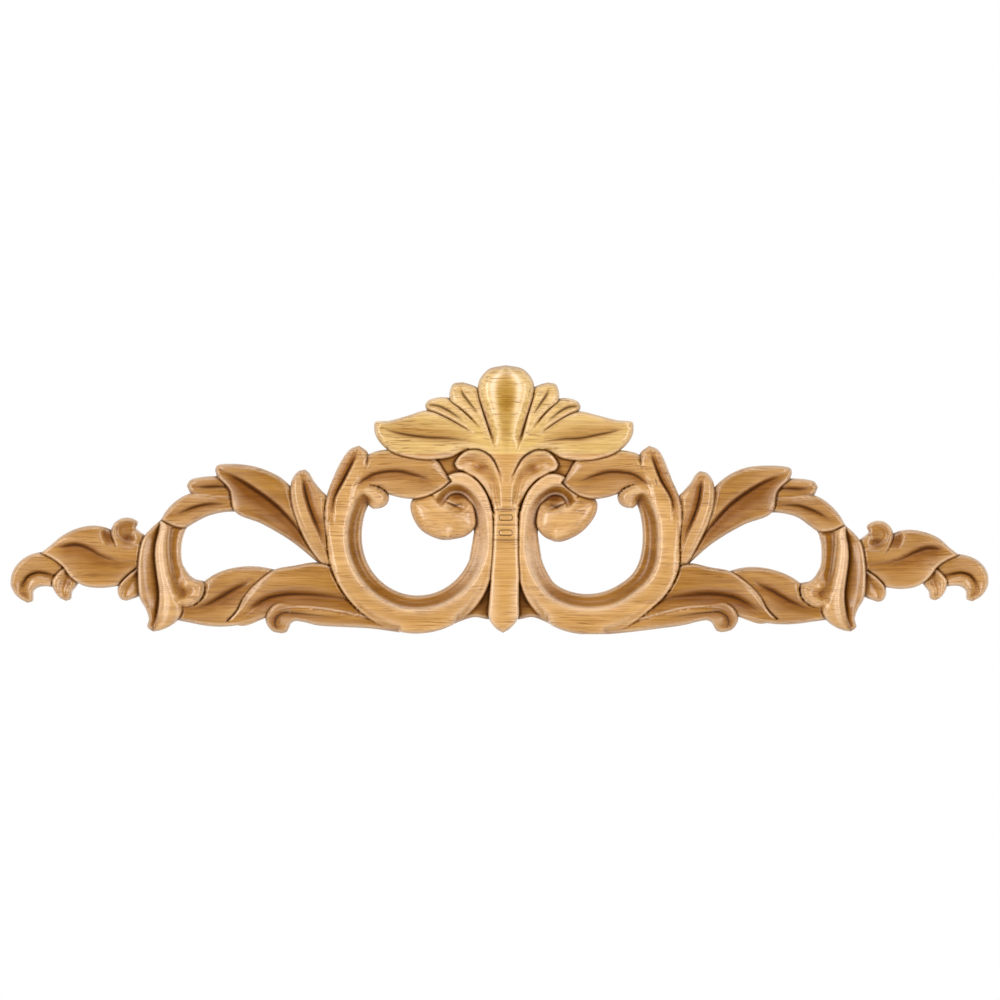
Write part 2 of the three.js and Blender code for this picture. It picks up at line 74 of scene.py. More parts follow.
# Cross-sections, each a list of [place, height]: place 0 is the form's first rail, 1 its middle one
# and 2 its last, and height is a share of the form's rise.
profiles = {
    "blade": [[0, 0.88], [0.4, 1], [1.6, 1], [2, 0.88]],
    "bead": [[0, 0.74], [0.25, 0.88], [0.6, 0.97], [0.95, 1], [1.35, 0.97], [1.75, 0.9], [2, 0.83]],
    "round": [[0, 0.7], [0.15, 0.81], [0.35, 0.905], [0.65, 0.975], [1, 1], [1.35, 0.975], [1.65, 0.905],
              [1.85, 0.81], [2, 0.7]],
    "hollow": [[0, 0.88], [0.3, 1], [1, 0.8], [1.7, 0.98], [2, 0.86]],
    "flat": [[0, 0.97], [0.12, 1], [1.88, 1], [2, 0.97]],
    "flute": [[0, 0.88], [0.12, 0.925], [0.35, 0.975], [0.58, 1], [0.76, 0.988], [0.9, 0.966], [1, 0.96],
              [1.1, 0.966], [1.24, 0.988], [1.42, 1], [1.65, 0.975], [1.88, 0.925], [2, 0.88]],
    "lean": [[0, 0.9], [0.25, 1], [0.8, 0.94], [1.4, 0.82], [2, 0.76]],
    "scroll": [[0, 0.94], [0.3, 1], [0.8, 1], [0.98, 0.965], [1.06, 0.87], [1.2, 0.74], [1.5, 0.62],
               [1.86, 0.57], [1.93, 0.61], [2, 0.6]],
    "slope": [[0, 1], [0.25, 0.84], [0.7, 0.73], [1.3, 0.72], [1.7, 0.77], [1.86, 0.84], [2, 0.8]],
    "low": [[0, 1], [2, 1]],
}

# The forms of the left half, from the lowest to the one carved over all others. A list of values
# runs from the start of the rails to their end.
# rails: one edge, the ridge or bed, and the other edge. Where two are given they are the edges, or in
# a middle form one edge and the axis that it is mirrored about.
# profile and rise: its cross-section, and how high it stands as a share of the thickness.
# vein: the hollow's width towards the first and the last rail, its depth in millimetres, its strength.
# cuts: how deep the groove beside the first and the last rail is.
# fade: the share of the length, at the start and the end, over which the form runs out.
# soft: how far in from an edge without a groove the form does so.
# dome: how far the surface drops to the edge, in millimetres, and over what width.
# stain: how much stain the wood has taken, and coveShade the painted shade laid in a scroll's cove.
# coveSheen: the painted sheen laid in the cove, and ridge the painted highlight along the middle rail.
# streaks and shadows: a place between the rails, a width, and a strength; streaks are painted
# highlights and shadows painted shadows.
forms = {
    "ground": {
        "stainAndShade": [0.5], "profile": "low", "rise": [0.54], "rails": [
            [[424, 480], [427, 451], [500, 451]],
            [[425, 487], [447, 503], [500, 522]]]},
    "palmetteGround": {
        "stainAndShade": [0.3], "profile": "low", "rise": [0.8, 0.86, 0.9], "cuts": [[0], [0]], "rails": [
            [[486, 394], [467, 418], [462, 440], [474, 458]],
            [[510, 394], [510, 418], [510, 440], [510, 458]]]},
    "heel": {
        "stainAndShade": [0.6], "profile": "low", "rise": [0.5], "rails": [
            [[500, 570], [484, 570], [464, 600], [455, 622.5]],
            [[500, 620], [488, 619.5], [474, 617.3], [456, 623]]]},
    "endHook": {
        "stainAndShade": [0.75], "profile": "hollow", "rise": [0.5, 0.53, 0.56, 0.58, 0.58, 0.56, 0.54, 0.5, 0.46],
        "vein": [3, 5, 0.7, [0.2, 0.6, 0.9, 1, 1, 0.9, 0.4, 0, 0]], "rails": [
            [[68, 562], [53, 553], [41, 552], [28, 555.5], [18, 563], [11.5, 573.5], [10.5, 586],
             [17, 597], [27, 603]],
            [[68, 573], [57, 576], [46, 573.5], [37, 572.5], [29, 575.5], [24, 581.5], [22, 588.5],
             [23.5, 595], [27, 603]],
            [[70, 584], [60, 587], [52, 587], [45, 586.5], [38, 587.5], [33.3, 591.5], [33, 597],
             [32.5, 601], [27, 603]]]},
    "endLobe": {
        "stainAndShade": [0.75], "profile": "hollow", "rise": [0.5, 0.52, 0.53, 0.5, 0.44], "rails": [
            [[68, 564], [58, 572], [51.5, 581], [53.5, 590.5], [59.5, 598], [65.5, 601]],
            [[72, 568], [66, 577], [63, 586], [62.5, 592], [63.5, 597], [65.5, 601]],
            [[80, 574], [79, 581], [75.5, 587], [72, 591.5], [70.5, 599], [65.5, 601]]]},
    "endLeaf": {
        "stainAndShade": [0.7], "profile": "blade", "rise": [0.56, 0.62, 0.66, 0.66, 0.66, 0.64, 0.6],
        "vein": [4, 15, 1.3, [0, 0, 0.9, 1, 0.9, 0.7, 0.4, 0.1]], "rails": [
            [[40, 553], [50, 545.5], [63, 535], [79, 527.7], [96, 525.5], [108, 528.5],
             [120, 536], [146, 545]],
            [[40, 553], [54, 549], [65, 546], [76, 544.5], [88, 548], [101, 555.5], [117, 561], [146, 562]],
            [[40, 553], [52, 559], [62, 566.5], [71, 578], [84, 586], [101, 588], [119, 586], [146, 582]]]},
    "underLobe": {
        "stainAndShade": [0.75], "profile": "hollow", "rise": [0.54, 0.54, 0.52, 0.46], "rails": [
            [[136, 568], [125, 577], [118, 586], [117.5, 594], [121, 599.5], [126, 600.8]],
            [[140, 573], [131, 581], [127, 588], [125, 594], [125, 598], [126, 600.8]],
            [[146, 576], [145, 583], [143, 590], [139, 596], [132, 599], [126, 600.8]]]},
    "topCurl": {
        "stainAndShade": [0.8], "profile": "hollow", "rise": [0.56, 0.6, 0.6, 0.58, 0.52],
        "cuts": [[0, 0.8, 1, 1, 1, 1, 1, 1], [0, 0, 0, 0.3, 1, 1, 1, 1]], "fade": [0.3, 0], "rails": [
            [[124, 554], [115, 545], [110.5, 532], [114, 523], [122, 518], [131, 518],
             [137.5, 522], [136.5, 526]],
            [[132, 552], [124, 542], [119, 533], [121, 526.5], [127, 523.5], [132, 523],
             [135, 524], [136.5, 526]],
            [[148, 552], [148, 543], [144, 535], [140, 532], [137.5, 530], [136, 528.5], [135.5, 527.5],
             [136.5, 526]]]},
    "footLeaf": {
        "stainAndShade": [0.75], "profile": "blade", "rise": [0.68, 0.7, 0.7, 0.68, 0.6],
        "vein": [5, 12, 1.2, [0, 0, 0.2, 0.8, 1, 1, 0.8, 0.4, 0]], "rails": [
            [[290, 575], [272, 569], [258, 566.5], [243, 566.5], [228, 569], [215, 574], [203, 582],
             [190, 592], [172, 606]],
            [[290, 590], [268, 575], [253, 580], [243, 585], [232, 590.5], [220, 597.5], [208, 604],
             [194, 609], [172, 614]],
            [[290, 612], [275, 614], [262, 618.5], [248, 623], [233, 626], [218, 626.7], [204, 625.5],
             [191, 623], [174, 619.5]]]},
    "calyxBlade": {
        "stainAndShade": [0.9], "profile": "lean", "rise": [0.64, 0.66, 0.68, 0.68, 0.66, 0.62, 0.52], "rails": [
            [[160.5, 520], [151, 528], [143, 538], [138.5, 556], [137.5, 578], [139.5, 598], [145.5, 609],
             [148.5, 619], [147, 627], [152.5, 631.5]],
            [[161, 521], [154, 532], [149, 542], [146, 556], [146.5, 578], [149, 597], [152, 608],
             [152.5, 618], [151, 626], [152.5, 631.5]],
            [[164, 522], [162, 531], [160, 543], [160, 556], [162, 575], [163, 590], [163, 602],
             [161, 613], [158, 624], [153.5, 631.5]]]},
    "calyxCove": {
        "stainAndShade": [1], "profile": "slope", "rise": [0.72, 0.72, 0.7, 0.68, 0.66],
        "cuts": [[1, 1, 1, 1, 0.8, 0, 0, 0], [1]], "rails": [
            [[168, 520], [167, 531], [166, 543], [166.5, 557], [169, 573], [174, 587], [180, 598],
             [190, 606]],
            [[190, 522], [185, 531], [182, 541], [181, 552], [182.5, 564], [188, 574.5],
             [196, 580], [204, 582]]]},
    "calyxRib": {
        "stainAndShade": [0.35], "profile": "bead", "rise": [0.74, 0.82, 0.84, 0.84, 0.8, 0.55], "soft": 2.5,
        "ridgeHighlight": [0.3, 0.6, 0.6, 0.5, 0.5, 0.6, 0.8, 0.8, 0.3, 0],
        "cuts": [[0.8, 1, 1.15, 1.2, 1.2, 1.2, 1.15, 1, 0.1, 0], [0, 0, 0, 0, 0, 0, 0, 0.9, 1, 0, 0, 0]],
        "rails": [
            [[160, 520], [158.5, 531], [155.5, 543], [154.5, 556], [156.5, 575], [158.5, 590], [158.5, 602],
             [157, 613], [155, 623], [152.5, 631.5]],
            [[165, 521], [163.5, 531], [161, 543], [160.8, 556], [163.5, 575], [167, 590], [168.5, 602],
             [167, 613], [163, 623], [152.5, 631.5]],
            [[171, 522], [169.5, 531], [168, 543], [168.2, 556], [171, 573], [175.5, 588], [182, 603],
             [182.5, 611], [177, 621], [168, 627.3], [159, 630.8], [152.5, 631.5]]]},
    "calyxCurl": {
        "stainAndShade": [0.35], "profile": "round", "rise": [0.6, 0.66, 0.7, 0.72, 0.73, 0.74], "soft": 3,
        "cuts": [[1, 1, 1, 1, 1, 1, 0.9, 0.2], [0]], "fade": [0.3, 0.12], "rails": [
            [[183.5, 566], [188.5, 574], [195, 579.3], [203.5, 581.5], [205.5, 590], [201.5, 599.5],
             [193, 605.8], [179, 608]],
            [[179, 570], [184, 577], [190.5, 583.5], [195.5, 588], [196.5, 592.5], [193, 597.5], [187, 601],
             [177, 603]],
            [[172, 572], [175.5, 582], [179.5, 588.5], [183, 592], [183.5, 595], [180.5, 596.5], [177, 597.2],
             [173.5, 598]]]},
    "archLobe": {
        "stainAndShade": [0.7], "profile": "blade", "rise": [0.6, 0.62, 0.6, 0.5],
        "vein": [4, 4, 0.8, [0.3, 1, 0.9, 0.3, 0]], "rails": [
            [[236, 478], [218, 476], [201, 477], [190, 480], [186.5, 485.5]],
            [[236, 487], [218, 486.5], [205, 487], [195, 487], [186.5, 485.5]],
            [[236, 500], [218, 499], [203, 497], [191, 494], [186.5, 485.5]]]},
    "archLeaf": {
        "stainAndShade": [0.75], "profile": "blade", "rise": [0.64, 0.66, 0.66, 0.62],
        "vein": [3, 5, 0.9, [0, 0.6, 1, 1, 0.6, 0, 0]], "cuts": [[0, 0, 0.5, 1, 1, 1, 1], [1]], "rails": [
            [[240, 494], [222, 493], [204, 493], [188, 494], [175, 501.5], [166, 511], [160.5, 520]],
            [[240, 504], [222, 504], [206, 504.5], [192, 508], [180, 513], [170, 517], [160.5, 520]],
            [[244, 512], [226, 512], [208, 516], [194, 523], [185, 528], [172, 526], [160.5, 520]]]},
    "bigLeaf": {
        "stainAndShade": [0.9], "profile": "blade", "rise": [0.6, 0.74, 0.8, 0.8, 0.76, 0.66],
        "vein": [2.5, 17, 1.6, [0, 0.2, 0.9, 1, 1, 0.8, 0.3, 0]], "rails": [
            [[215, 470], [217, 465.5], [238, 464], [262, 468.5], [284, 480], [300, 500],
             [318, 540], [338, 580]],
            [[215, 470], [224, 473], [240, 480], [258, 491.5], [277, 506], [293, 523], [313, 549],
             [338, 580]],
            [[215, 470], [217, 476.5], [229, 490], [234.5, 511.5], [262, 524], [290, 540.5], [314, 559.5],
             [338, 580]]]},
    "midLeaf": {
        "stainAndShade": [0.55], "profile": "blade", "rise": [0.6, 0.8, 0.86, 0.86, 0.8, 0.7],
        "vein": [3, 9, 1.4, [0, 0.2, 1, 1, 1, 0.6, 0, 0]], "rails": [
            [[305, 469.5], [298, 471.5], [291.5, 481], [291, 500], [297, 522], [308, 546],
             [322, 565], [336, 580]],
            [[305, 469.5], [304, 477], [304.5, 487], [308.5, 504], [315, 521], [321, 535],
             [328, 556], [337, 580]],
            [[305, 469.5], [309.5, 473.5], [314.5, 482], [321, 490], [328, 498], [330, 520], [334, 548],
             [340, 580]]]},
    "fernLeaf": {
        "stainAndShade": [0.85], "profile": "blade", "rise": [0.58, 0.72, 0.77, 0.78, 0.76, 0.74],
        "vein": [6, 14, 1.6, [0, 0.2, 0.7, 1, 1, 0.9, 0.7, 0.5, 0.4]],
        "cuts": [[1], [0, 0, 0.2, 0.8, 1, 1, 1, 1, 1]], "rails": [
            [[226, 622], [236, 611], [243, 598], [251, 587.5], [261, 578.5], [274, 569.5], [294, 565.5],
             [318, 562.5], [350, 572]],
            [[226, 622], [246, 613], [256, 605], [268, 598], [284, 594.5], [302, 594], [322, 595.5],
             [340, 598], [370, 606]],
            [[226, 622], [243, 626], [262, 619.5], [273, 614.5], [286, 610], [304, 609], [325, 611],
             [348, 615], [385, 624]]]},
    "footCurl": {
        "stainAndShade": [0.75], "profile": "blade", "rise": [0.6, 0.76, 0.78, 0.77, 0.74, 0.66, 0.56],
        "vein": [9, 9, 1.0, [0, 0, 0.3, 0.7, 0.9, 1, 1, 1, 0.6, 0]],
        "cuts": [[0, 0, 0, 0, 0.3, 0.8, 1, 1, 1, 1], [1]], "soft": 14, "rails": [
            [[400, 612], [370, 612], [342, 609], [315, 606], [292, 603.5], [277, 603], [268, 611],
             [265.5, 621], [272, 631], [281, 633.5]],
            [[400, 622], [370, 620], [342, 617.5], [315, 615], [295, 613], [283, 613], [277, 617],
             [275, 623], [277, 629], [281, 633.5]],
            [[400, 632.5], [370, 628.5], [342, 627], [318, 625.5], [303, 622], [295, 621.2], [291, 623.5],
             [289, 627.5], [286.5, 632], [281, 633.5]]]},
    "tallLeaf": {
        "stainAndShade": [0.35], "profile": "blade", "rise": [0.6, 0.8, 0.86, 0.86, 0.84],
        "vein": [8, 1.4, 1.7, [0, 0.7, 1, 0.7, 0, 0]], "rails": [
            [[359, 445.5], [349, 450], [333, 478], [325, 505], [326, 535], [336, 575]],
            [[359, 445.5], [353.5, 461], [344.5, 479], [334, 502], [336, 535], [344, 570]],
            [[359, 445.5], [368, 453], [365, 471], [357, 492], [352, 520], [352, 560]]]},
    "band": {
        "stainAndShade": [0.2], "profile": "scroll", "rise": [0.86, 0.86, 0.85, 0.82, 0.78, 0.74],
        "coveShade": [0, 0, 0.2, 0.6, 0.9, 0.9, 0.9, 0.9, 0.9], "coveSheen": [1, 0.9, 0.5, 0.1, 0, 0, 0, 0, 0],
        "ridgeHighlight": [0.8, 0.8, 0.7, 0.6, 0.4, 0.2, 0, 0, 0],
        "fade": [0.18, 0], "rails": [
            [[494, 566], [494, 520], [491, 505], [485, 490], [476, 479], [464, 472], [450, 474], [436, 484],
             [428, 492]],
            [[485, 566], [485.5, 520], [483, 508], [477, 497], [469, 489], [459, 484], [449, 485], [441, 491],
             [436, 498]],
            [[468, 566], [475, 520], [473, 508], [468, 500], [462, 495], [456, 494], [450, 496], [446, 501],
             [442, 507]]]},
    "ball": {
        "stainAndShade": [0.25], "profile": "round", "rise": [0.72, 0.84, 0.88, 0.84, 0.7],
        "cuts": [[1], [0, 0.6, 1, 1, 1, 1]], "fade": [0.3, 0], "rails": [
            [[436, 490], [412, 500], [411, 512], [421, 530], [440, 539.5], [450, 540]],
            [[448, 498], [441, 505], [440, 515], [443, 527], [448, 535], [450, 540]],
            [[462, 498], [471, 502], [475.5, 515], [475, 527], [466, 536], [450, 540]]]},
    "crossLeaf": {
        "stainAndShade": [0.55], "profile": "blade", "rise": [0.8, 0.8, 0.78, 0.74, 0.6],
        "vein": [4, 10, 1.05, [0, 0.8, 1, 1, 1, 0.9, 0.5, 0, 0]],
        "cuts": [[0, 0.3, 1, 1, 1, 1, 1, 1, 1], [0, 0, 0.5, 1, 1, 1, 1, 1, 1]], "fade": [0.16, 0], "rails": [
            [[352, 476], [362, 460], [371, 453], [386, 449.5], [406, 449], [424, 453], [437, 460],
             [444, 470], [451.5, 481.5]],
            [[350, 488], [361, 482], [371, 475.5], [384, 472], [400, 471.5], [415, 475], [428, 479],
             [440, 481], [451.5, 481.5]],
            [[352, 496], [365, 490], [378, 491], [390, 495], [402, 498], [416, 499], [430, 495.5],
             [442, 489], [451.5, 481.5]]]},
    "sideLeaf": {
        "stainAndShade": [0.28], "profile": "blade", "rise": [0.6, 0.74, 0.78, 0.8, 0.82, 0.88],
        "vein": [13, 4, 0.95, [0, 0.1, 0.8, 1, 1, 0.9, 0.5, 0]],
        "cuts": [[1, 1, 1, 1, 1, 1, 0.6, 0], [1, 1, 1, 1, 1, 1, 1, 0.7, 0, 0]], "fade": [0, 0.16], "rails": [
            [[374, 426], [375, 422], [390, 420.5], [408, 415.5], [428, 410], [448, 416],
             [470, 429], [500, 440]],
            [[374, 426], [380, 428], [392, 431.5], [408, 435], [427, 437.5], [448, 438.5], [468, 441],
             [500, 448]],
            [[374, 426], [375, 434], [381, 444], [394, 453.5], [414, 459], [437, 459.7], [452, 457],
             [462, 452], [476, 449.5], [502, 450]]]},
    "rayOuter": {
        "stainAndShade": [0.3], "profile": "blade", "rise": [0.56, 0.7, 0.78, 0.84, 0.9],
        "vein": [3, 4, 0.55, [0, 0.8, 1, 1, 0.9, 0.2, 0, 0]],
        "cuts": [[1, 1, 1, 1, 1, 0.9, 0.3, 0], [1, 1, 1, 1, 1, 0.8, 0.1, 0]], "fade": [0, 0.3], "rails": [
            [[425, 405], [428, 400.5], [437, 397.5], [449, 398], [461, 408], [472, 419],
             [481, 431], [490, 446]],
            [[425, 405], [430, 405], [438, 406], [447, 410], [457, 416.5], [466, 423], [476, 432],
             [488, 447]],
            [[425, 405], [426, 409], [436, 413], [447, 418], [458, 424], [467, 429.5], [476, 436],
             [486, 448]]]},
    "rayInner": {
        "stainAndShade": [0.3], "profile": "blade", "rise": [0.62, 0.78, 0.86, 0.9, 0.92],
        "vein": [3, 2.5, 0.6, [0, 0.3, 1, 1, 0.8, 0.1, 0, 0]],
        "cuts": [[1, 1, 1, 1, 1, 0.9, 0.3, 0], [1]], "fade": [0, 0.25], "rails": [
            [[462, 382], [453, 384], [449.5, 392], [450, 400], [461, 409], [472, 419], [483, 433],
             [492, 450]],
            [[462, 382], [461, 387], [463, 394], [468, 401], [475, 410], [481, 419], [487, 434], [494, 450]],
            [[462, 382], [471, 384.5], [479, 389], [481, 402], [485, 415], [489, 428], [493, 440],
             [500, 455]]]},
    "stem": {
        "middle": True, "stainAndShade": [0.25], "profile": "flat", "rise": [0.7, 0.88, 0.9, 0.9, 0.9],
        "cuts": [[1, 1, 1, 1, 1, 1, 1, 1, 0, 0, 0]], "fade": [0, 0.06], "rails": [
            [[503, 632.8], [496, 628.5], [488.5, 618], [489, 600], [490.5, 578], [492.5, 555], [493.5, 530],
             [493, 508], [487, 483], [479, 465], [474, 448]],
            [[503, 632.8], [503, 629], [503.5, 618], [504, 600], [505, 578], [505.5, 555], [506, 530],
             [506, 508], [506.5, 490], [506.5, 470], [506.5, 448]]]},
    "arm": {
        "stainAndShade": [0.35], "profile": "hollow", "rise": [0.9, 0.9, 0.88, 0.84, 0.8, 0.72], "soft": 6,
        "cuts": [[1], [0, 0, 0.9, 1, 1, 1, 1]], "fade": [0.35, 0], "rails": [
            [[494, 522], [491.3, 506], [485.3, 490.5], [476.3, 479.4], [465, 472.4], [457, 469], [454, 463]],
            [[502, 506], [497, 491], [492, 478], [485, 467.5], [474, 461], [463, 460], [454, 463]],
            [[506, 500], [503, 486], [499, 471], [491, 456], [477, 449], [463, 452], [454, 463]]]},
    "palmetteLobe": {
        "middle": True, "stainAndShade": [0.5, 0.35, 0.15, 0.15, 0.15, 0.15, 0.15, 0.15], "profile": "flute",
        "rise": [0.7, 0.92, 0.98, 0.99, 0.97, 0.94, 0.9, 0.88], "dome": [1.7, 11],
        "highlightStreaks": [[place, 0.1, [0, 1.1, 1.7, 1.4, 0.7, 0.2, 0, 0]] for place in (0.52, 1.48)],
        "shadows": [[1, 0.38, [0.5, 0.6, 0.85, 0.9, 0.85, 0.75, 0.5, 0]]],
        "cuts": [[1, 1, 1, 1, 1, 0.9, 0.4, 0]], "fade": [0, 0.32], "rails": [
            [[506, 365], [489, 369], [479, 381], [478, 393], [483, 412], [489, 431], [494, 447], [496, 462]],
            [[506, 365], [506, 369], [506, 381], [506, 393], [506, 412], [506, 431], [506, 447],
             [506, 462]]]},
    "smallCurl": {
        "stainAndShade": [0.35], "profile": "round", "rise": [0.84, 0.84, 0.82, 0.74], "fade": [0.35, 0], "soft": 4,
        "cuts": [[0, 0.3, 1, 1, 1, 1, 1], [0, 0, 0, 0, 0.6, 1, 1]], "rails": [
            [[350, 482], [362, 484], [374, 485.3], [383, 489], [389, 496], [387, 504], [381, 508],
             [373, 509]],
            [[350, 493], [360, 491.5], [369, 492.5], [376.5, 495.5], [380, 499.5], [379, 504], [373, 509]],
            [[350, 510], [355, 501.5], [361, 496.5], [366.5, 497.5], [368.5, 501.5],
             [368.8, 505.5], [373, 509]]]},
}

# The C-scroll's ring, drawn about its eye: angles in degrees and radii in the pattern's units, from
# the small curl round by the foot to the stem. It is carved before the form named there.
ring = {
    "eye": [417.5, 540], "from": 221, "to": -14, "profile": "scroll", "rise": [0.86],
    "stainAndShade": [0.15, 0.15, 0.3, 0.45, 0.5, 0.5, 0.45, 0.3, 0.2],
    "coveShade": [0.9, 0.95, 1, 1, 1, 1, 0.85, 0.3, 0],
    "coveSheen": [0, 0, 0, 0, 0, 0, 0.15, 0.8, 1], "ridgeHighlight": [0.6],
    "cuts": [[0, 0.2, 1, 0.9, 0, 0, 0.9, 1, 1], [1]],
    "inner": [61.5, 56, 55, 55, 55.5, 55.5, 55, 55, 57.5],
    "arris": [75, 72, 70, 69.5, 69.5, 69.5, 69, 68.5, 70],
    "outer": [90, 90.5, 90.5, 91.5, 94, 93.2, 88.5, 79.2, 78.8],
    "fade": [0.08, 0.04],
    "before": "band",
}

# Where the cutter's hand strayed on the right half: a spot of the left half, then how far its twin
# lies to the right and down of where a mirror would put it. Each spot pulls what is within its reach,
# against a small weight that rests where the mirror puts it.
straying = {"reach": 17, "rest": 0.05}
stray = [
    [470, 385, 8, 0], [451, 389, 3.5, 0.5], [460, 402, 6, 0.5], [428, 402, 1, 2], [396, 418, 0, -2],
    [374, 426, 5, 1], [400, 458, 4, 1.5], [450, 457, 8, 0.5], [480, 425, 9, 0], [495, 610, 3, 0],
    [480, 450, 12, 0.5], [490, 500, 9, 0], [475, 545, 10, 0], [492, 575, 6, 0], [451, 481, 10, 2.5],
    [415, 499, 5, 0.5], [440, 540, -3.5, 2.5], [390, 496, 2, -1], [359, 445, 4.5, 0], [335, 478, 0, 0],
    [324, 520, 3.7, 0], [336, 574, 7.5, 0], [361, 540, 0, 0], [420, 596, 0, -2], [385, 628, 0, 3.5],
    [424, 632, 0, 1], [305, 470, 1.3, 2], [216, 468, 4, 3], [262, 469, 0, 0], [232, 506, 3, 1],
    [300, 548, 0, 2], [188, 486, 0, 1.5], [161, 519, 4, 6.5], [183, 548, -2, 3], [144, 535, -1, 5],
    [145, 600, -0.5, 0], [204, 585, 1, 2], [220, 626, 0, -2.5], [282, 633, 2, -2], [293, 621, -4, 0],
    [10, 583, -5, -2], [31, 603, -1, -2.5], [37, 589, -9, 0], [73, 593, -7, 0], [40, 553, -4, 2.5],
    [93, 526, 0, 4.7], [98, 587, 0, 1], [67, 601, 1, -1], [128, 518, 1, 2], [118, 592, 0, 2],
]


# A pattern point carried to the right half: mirrored about the middle, then strayed by the mean of
# the strays near it, each weighted by exp(-distance^2 / (2 reach^2)).
def toRight(points):
    points = np.asarray(points, float)
    table = np.array(stray)
    gap = points[:, None, :] - table[None, :, :2]
    weight = np.exp(-(gap ** 2).sum(-1) / (2 * straying["reach"] ** 2))
    shift = weight @ table[:, 2:] / (weight.sum(1, keepdims=True) + straying["rest"])
    return np.column_stack([2 * pattern["middle"] - points[:, 0], points[:, 1]]) + shift


# The left half and the middle stay where they are drawn.
def asDrawn(points):
    return np.asarray(points, float)


# A smooth line through points, as [x, y, share of the way] rows an even step apart: the centripetal
# Catmull-Rom curve, whose spans are Hermite cubics with knots spaced by the root of the distance.
def smoothLine(points, spotsPerSpan=24):
    points = np.asarray(points, float)
    padded = np.vstack([2 * points[0] - points[1], points, 2 * points[-1] - points[-2]])
    knot = np.maximum(np.linalg.norm(np.diff(padded, axis=0), axis=1), 1e-6) ** 0.5
    fine = []
    t = np.linspace(0, 1, spotsPerSpan, endpoint=False)[:, None]
    for i in range(len(points) - 1):
        p0, p1, p2, p3 = padded[i:i + 4]
        k0, k1, k2 = knot[i:i + 3]
        m1 = ((p1 - p0) / k0 - (p2 - p0) / (k0 + k1) + (p2 - p1) / k1) * k1
        m2 = ((p2 - p1) / k1 - (p3 - p1) / (k1 + k2) + (p3 - p2) / k2) * k1
        spot = (p1 + m1 * t + (-3 * p1 + 3 * p2 - 2 * m1 - m2) * t ** 2
                + (2 * p1 - 2 * p2 + m1 + m2) * t ** 3)
        fine.append(np.column_stack([spot, (i + t[:, 0]) / (len(points) - 1)]))
    fine = np.vstack([*fine, [*points[-1], 1.0]])
    travelled = distanceAlong(fine[:, :2])
    count = max(2, int(round(travelled[-1] / cutting["lineStep"])) + 1)
    even = np.linspace(0, travelled[-1], count)
    return np.column_stack([np.interp(even, travelled, fine[:, k]) for k in range(3)])


# The way travelled up to each point of a line.
def distanceAlong(spots):
    return np.append(0, np.cumsum(np.linalg.norm(np.diff(spots, axis=0), axis=1)))


# The value at a share of the way along a list, its steps smoothed into one another.
def along(values, share):
    if len(values) == 1:
        return np.full(np.shape(share), float(values[0]))
    steps = len(values) - 1
    return smoothTable(np.linspace(0, 1, len(values)), values, cutting["listBlur"] / steps)(share)


# Straight steps between knots, blurred by a bell of the given width.
def smoothTable(knots, values, width, samples=600, bellReach=60):
    reach = np.linspace(knots[0] - 3 * width, knots[-1] + 3 * width, samples)
    straight = np.interp(reach, knots, values)
    bell = np.exp(-0.5 * (np.arange(-bellReach, bellReach + 1) * (reach[1] - reach[0]) / width) ** 2)
    blurred = np.convolve(np.pad(straight, bellReach, mode="edge"), bell / bell.sum(), mode="valid")
    return lambda x: np.interp(x, reach, blurred)


# 0 below 0, 1 above 1, and 3x^2 - 2x^3 between.
def smoothStep(x):
    x = np.clip(x, 0, 1)
    return x * x * (3 - 2 * x)


rowsAtOnce = 2000  # points compared with a line in one go, to save memory


# Distance from points to a line, and the share of the way at the nearest spot: each segment's foot
# is at t = gap . step / step^2, kept between 0 and 1.
def nearest(points, line):
    start, step = line[:-1, :2], np.diff(line[:, :2], axis=0)
    lengthSquared = np.maximum((step ** 2).sum(1), 1e-12)
    distance = np.empty(len(points))
    share = np.empty(len(points))
    for first in range(0, len(points), rowsAtOnce):
        part = points[first:first + rowsAtOnce]
        gapX = part[:, :1] - start[:, 0]
        gapY = part[:, 1:2] - start[:, 1]
        t = np.clip((gapX * step[:, 0] + gapY * step[:, 1]) / lengthSquared, 0, 1)
        squared = (gapX - t * step[:, 0]) ** 2 + (gapY - t * step[:, 1]) ** 2
        best = squared.argmin(1)
        rows = np.arange(len(part))
        distance[first:first + rowsAtOnce] = np.sqrt(squared[rows, best])
        share[first:first + rowsAtOnce] = line[best, 2] + t[rows, best] * (line[best + 1, 2] - line[best, 2])
    return distance, share


# The numbers of the points in the upright box around some spots, with a margin.
def rowsNear(points, spots, margin=0):
    low, high = spots.min(0) - margin, spots.max(0) + margin
    return np.flatnonzero(((points >= low) & (points <= high)).all(1))


# Whether points lie inside closed lines, given by both ends of every edge: a level ray to the right
# crosses an odd number of edges.
def insideEdges(points, a, b):
    result = np.zeros(len(points), bool)
    near = rowsNear(points, a)
    slope = (b[:, 0] - a[:, 0]) / np.where(b[:, 1] == a[:, 1], 1e-12, b[:, 1] - a[:, 1])
    for first in range(0, len(near), rowsAtOnce):
        rows = near[first:first + rowsAtOnce]
        x, y = points[rows, :1], points[rows, 1:2]
        spans = (a[:, 1] > y) != (b[:, 1] > y)
        result[rows] = ((spans & (x < a[:, 0] + (y - a[:, 1]) * slope)).sum(1) % 2).astype(bool)
    return result


# The same for an outline given by its corners.
def inside(points, outline):
    return insideEdges(points, outline, np.roll(outline, -1, axis=0))


